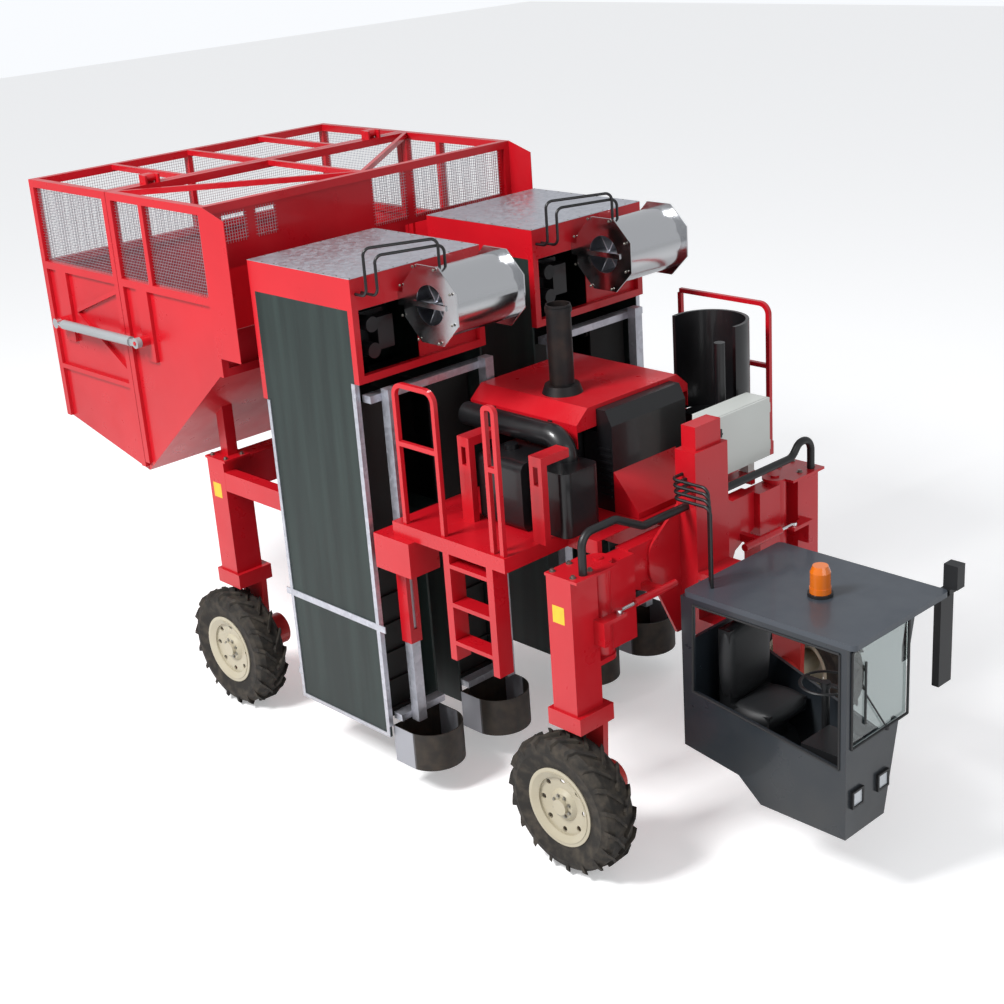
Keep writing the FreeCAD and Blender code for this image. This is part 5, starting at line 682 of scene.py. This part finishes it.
# %% Bevel the sheet and tube
NO_BEVEL = ("tyre", "windscreen", "bin_mesh", "hoses", "unit_hydraulics")
BEVEL_WIDTH = 0.003
BEVEL_ANGLE = math.radians(40)
for name, solid in NODES.items():
    if name.startswith(NO_BEVEL):
        continue
    bevel = solid.modifiers.new("SoftEdge", "BEVEL")
    bevel.width = BEVEL_WIDTH
    bevel.segments = 2
    bevel.limit_method = "ANGLE"
    bevel.angle_limit = BEVEL_ANGLE
print("soft edges on the solids")

# %% [markdown]
# ## Camera
# The camera stands where the photographer stood: a little above the engine deck, off the front right
# corner. Its place was found by matching the wheels' hubs, the deck and the bin's corners in the picture.

# %% Camera
AZIMUTH, ELEVATION, ROLL = math.radians(47.491), math.radians(21.07), math.radians(-4.08)
STAND = (10.154, -9.242, 7.344)
forward = Vector((-math.sin(AZIMUTH) * math.cos(ELEVATION), math.cos(AZIMUTH) * math.cos(ELEVATION),
                  -math.sin(ELEVATION)))
level = Vector((math.cos(AZIMUTH), math.sin(AZIMUTH), 0.0))
upright = level.cross(forward)
right = level * math.cos(ROLL) + upright * math.sin(ROLL)
up = -level * math.sin(ROLL) + upright * math.cos(ROLL)
lens = bpy.data.cameras.new("Camera")
lens.sensor_width = 36.0
lens.lens = 59.06
camera = bpy.data.objects.new("Camera", lens)
camera.matrix_world = Matrix((
    (right.x, up.x, -forward.x, STAND[0]),
    (right.y, up.y, -forward.y, STAND[1]),
    (right.z, up.z, -forward.z, STAND[2]),
    (0.0, 0.0, 0.0, 1.0),
))
bpy.context.scene.collection.objects.link(camera)
bpy.context.scene.camera = camera
print("camera at", [round(v, 2) for v in camera.location])

# %% [markdown]
# ## Floor, sky and light
# The light is a broad soft key from the right and above, a weaker fill from the front, and a pale sky all
# round. The floor and the sky are brighter to the camera than to the machine, so it stands on a clean page
# without being washed out by it.

# %% Floor
FLOOR_GLOW = 0.30
FLOOR_HALF = 60.0
FLOOR_TOP = -0.001
FLOOR, floor_shader = new_material("pale_floor", "F2F2F2", 0.9)
floor_view = add_node(FLOOR, "ShaderNodeLightPath")
floor_shader.inputs["Emission Color"].default_value = (1.0, 1.0, 1.0, 1.0)
floor_glow = remap(FLOOR, floor_view.outputs["Is Camera Ray"], 0.0, 1.0, 0.0, FLOOR_GLOW)
FLOOR.node_tree.links.new(floor_glow, floor_shader.inputs["Emission Strength"])
floor_mesh = bmesh.new()
bmesh.ops.create_grid(floor_mesh, x_segments=1, y_segments=1, size=FLOOR_HALF)
floor_data = bpy.data.meshes.new("Floor")
floor_mesh.to_mesh(floor_data)
floor_mesh.free()
floor_data.materials.append(FLOOR)
floor = bpy.data.objects.new("Floor", floor_data)
floor.location.z = FLOOR_TOP
bpy.context.scene.collection.objects.link(floor)
print("floor", 2 * FLOOR_HALF, "m across")

# %% Sky
SKY_LIGHT = 0.62
SKY_SEEN = 1.0
bpy.context.scene.view_settings.view_transform = "Standard"
world = bpy.data.worlds.new("Sky")
world.use_nodes = True
bpy.context.scene.world = world
sky = world.node_tree.nodes["Background"]
sky.inputs["Color"].default_value = (0.95, 0.97, 1.0, 1.0)
sky_view = add_node(world, "ShaderNodeLightPath")
sky_strength = remap(world, sky_view.outputs["Is Camera Ray"], 0.0, 1.0, SKY_LIGHT, SKY_SEEN)
world.node_tree.links.new(sky_strength, sky.inputs["Strength"])
print("sky lights with", SKY_LIGHT, "and shows as", SKY_SEEN)

# %% Key and fill
MACHINE_MIDDLE = (0.0, 0.0, 2.0)


def soft_light(name, place, size, watts):
    """A square soft light at a place, turned to the middle of the machine."""
    lamp = bpy.data.lights.new(name, "AREA")
    lamp.shape = "SQUARE"
    lamp.size = size
    lamp.energy = watts
    holder = bpy.data.objects.new(name, lamp)
    holder.location = place
    holder.rotation_euler = (Vector(MACHINE_MIDDLE) - Vector(place)).to_track_quat("-Z", "Y").to_euler()
    bpy.context.scene.collection.objects.link(holder)


soft_light("Key", (-1.0, -11.0, 13.0), 4.0, 2700)
soft_light("Fill", (14.0, -2.0, 6.0), 8.0, 350)
print("two soft lights")
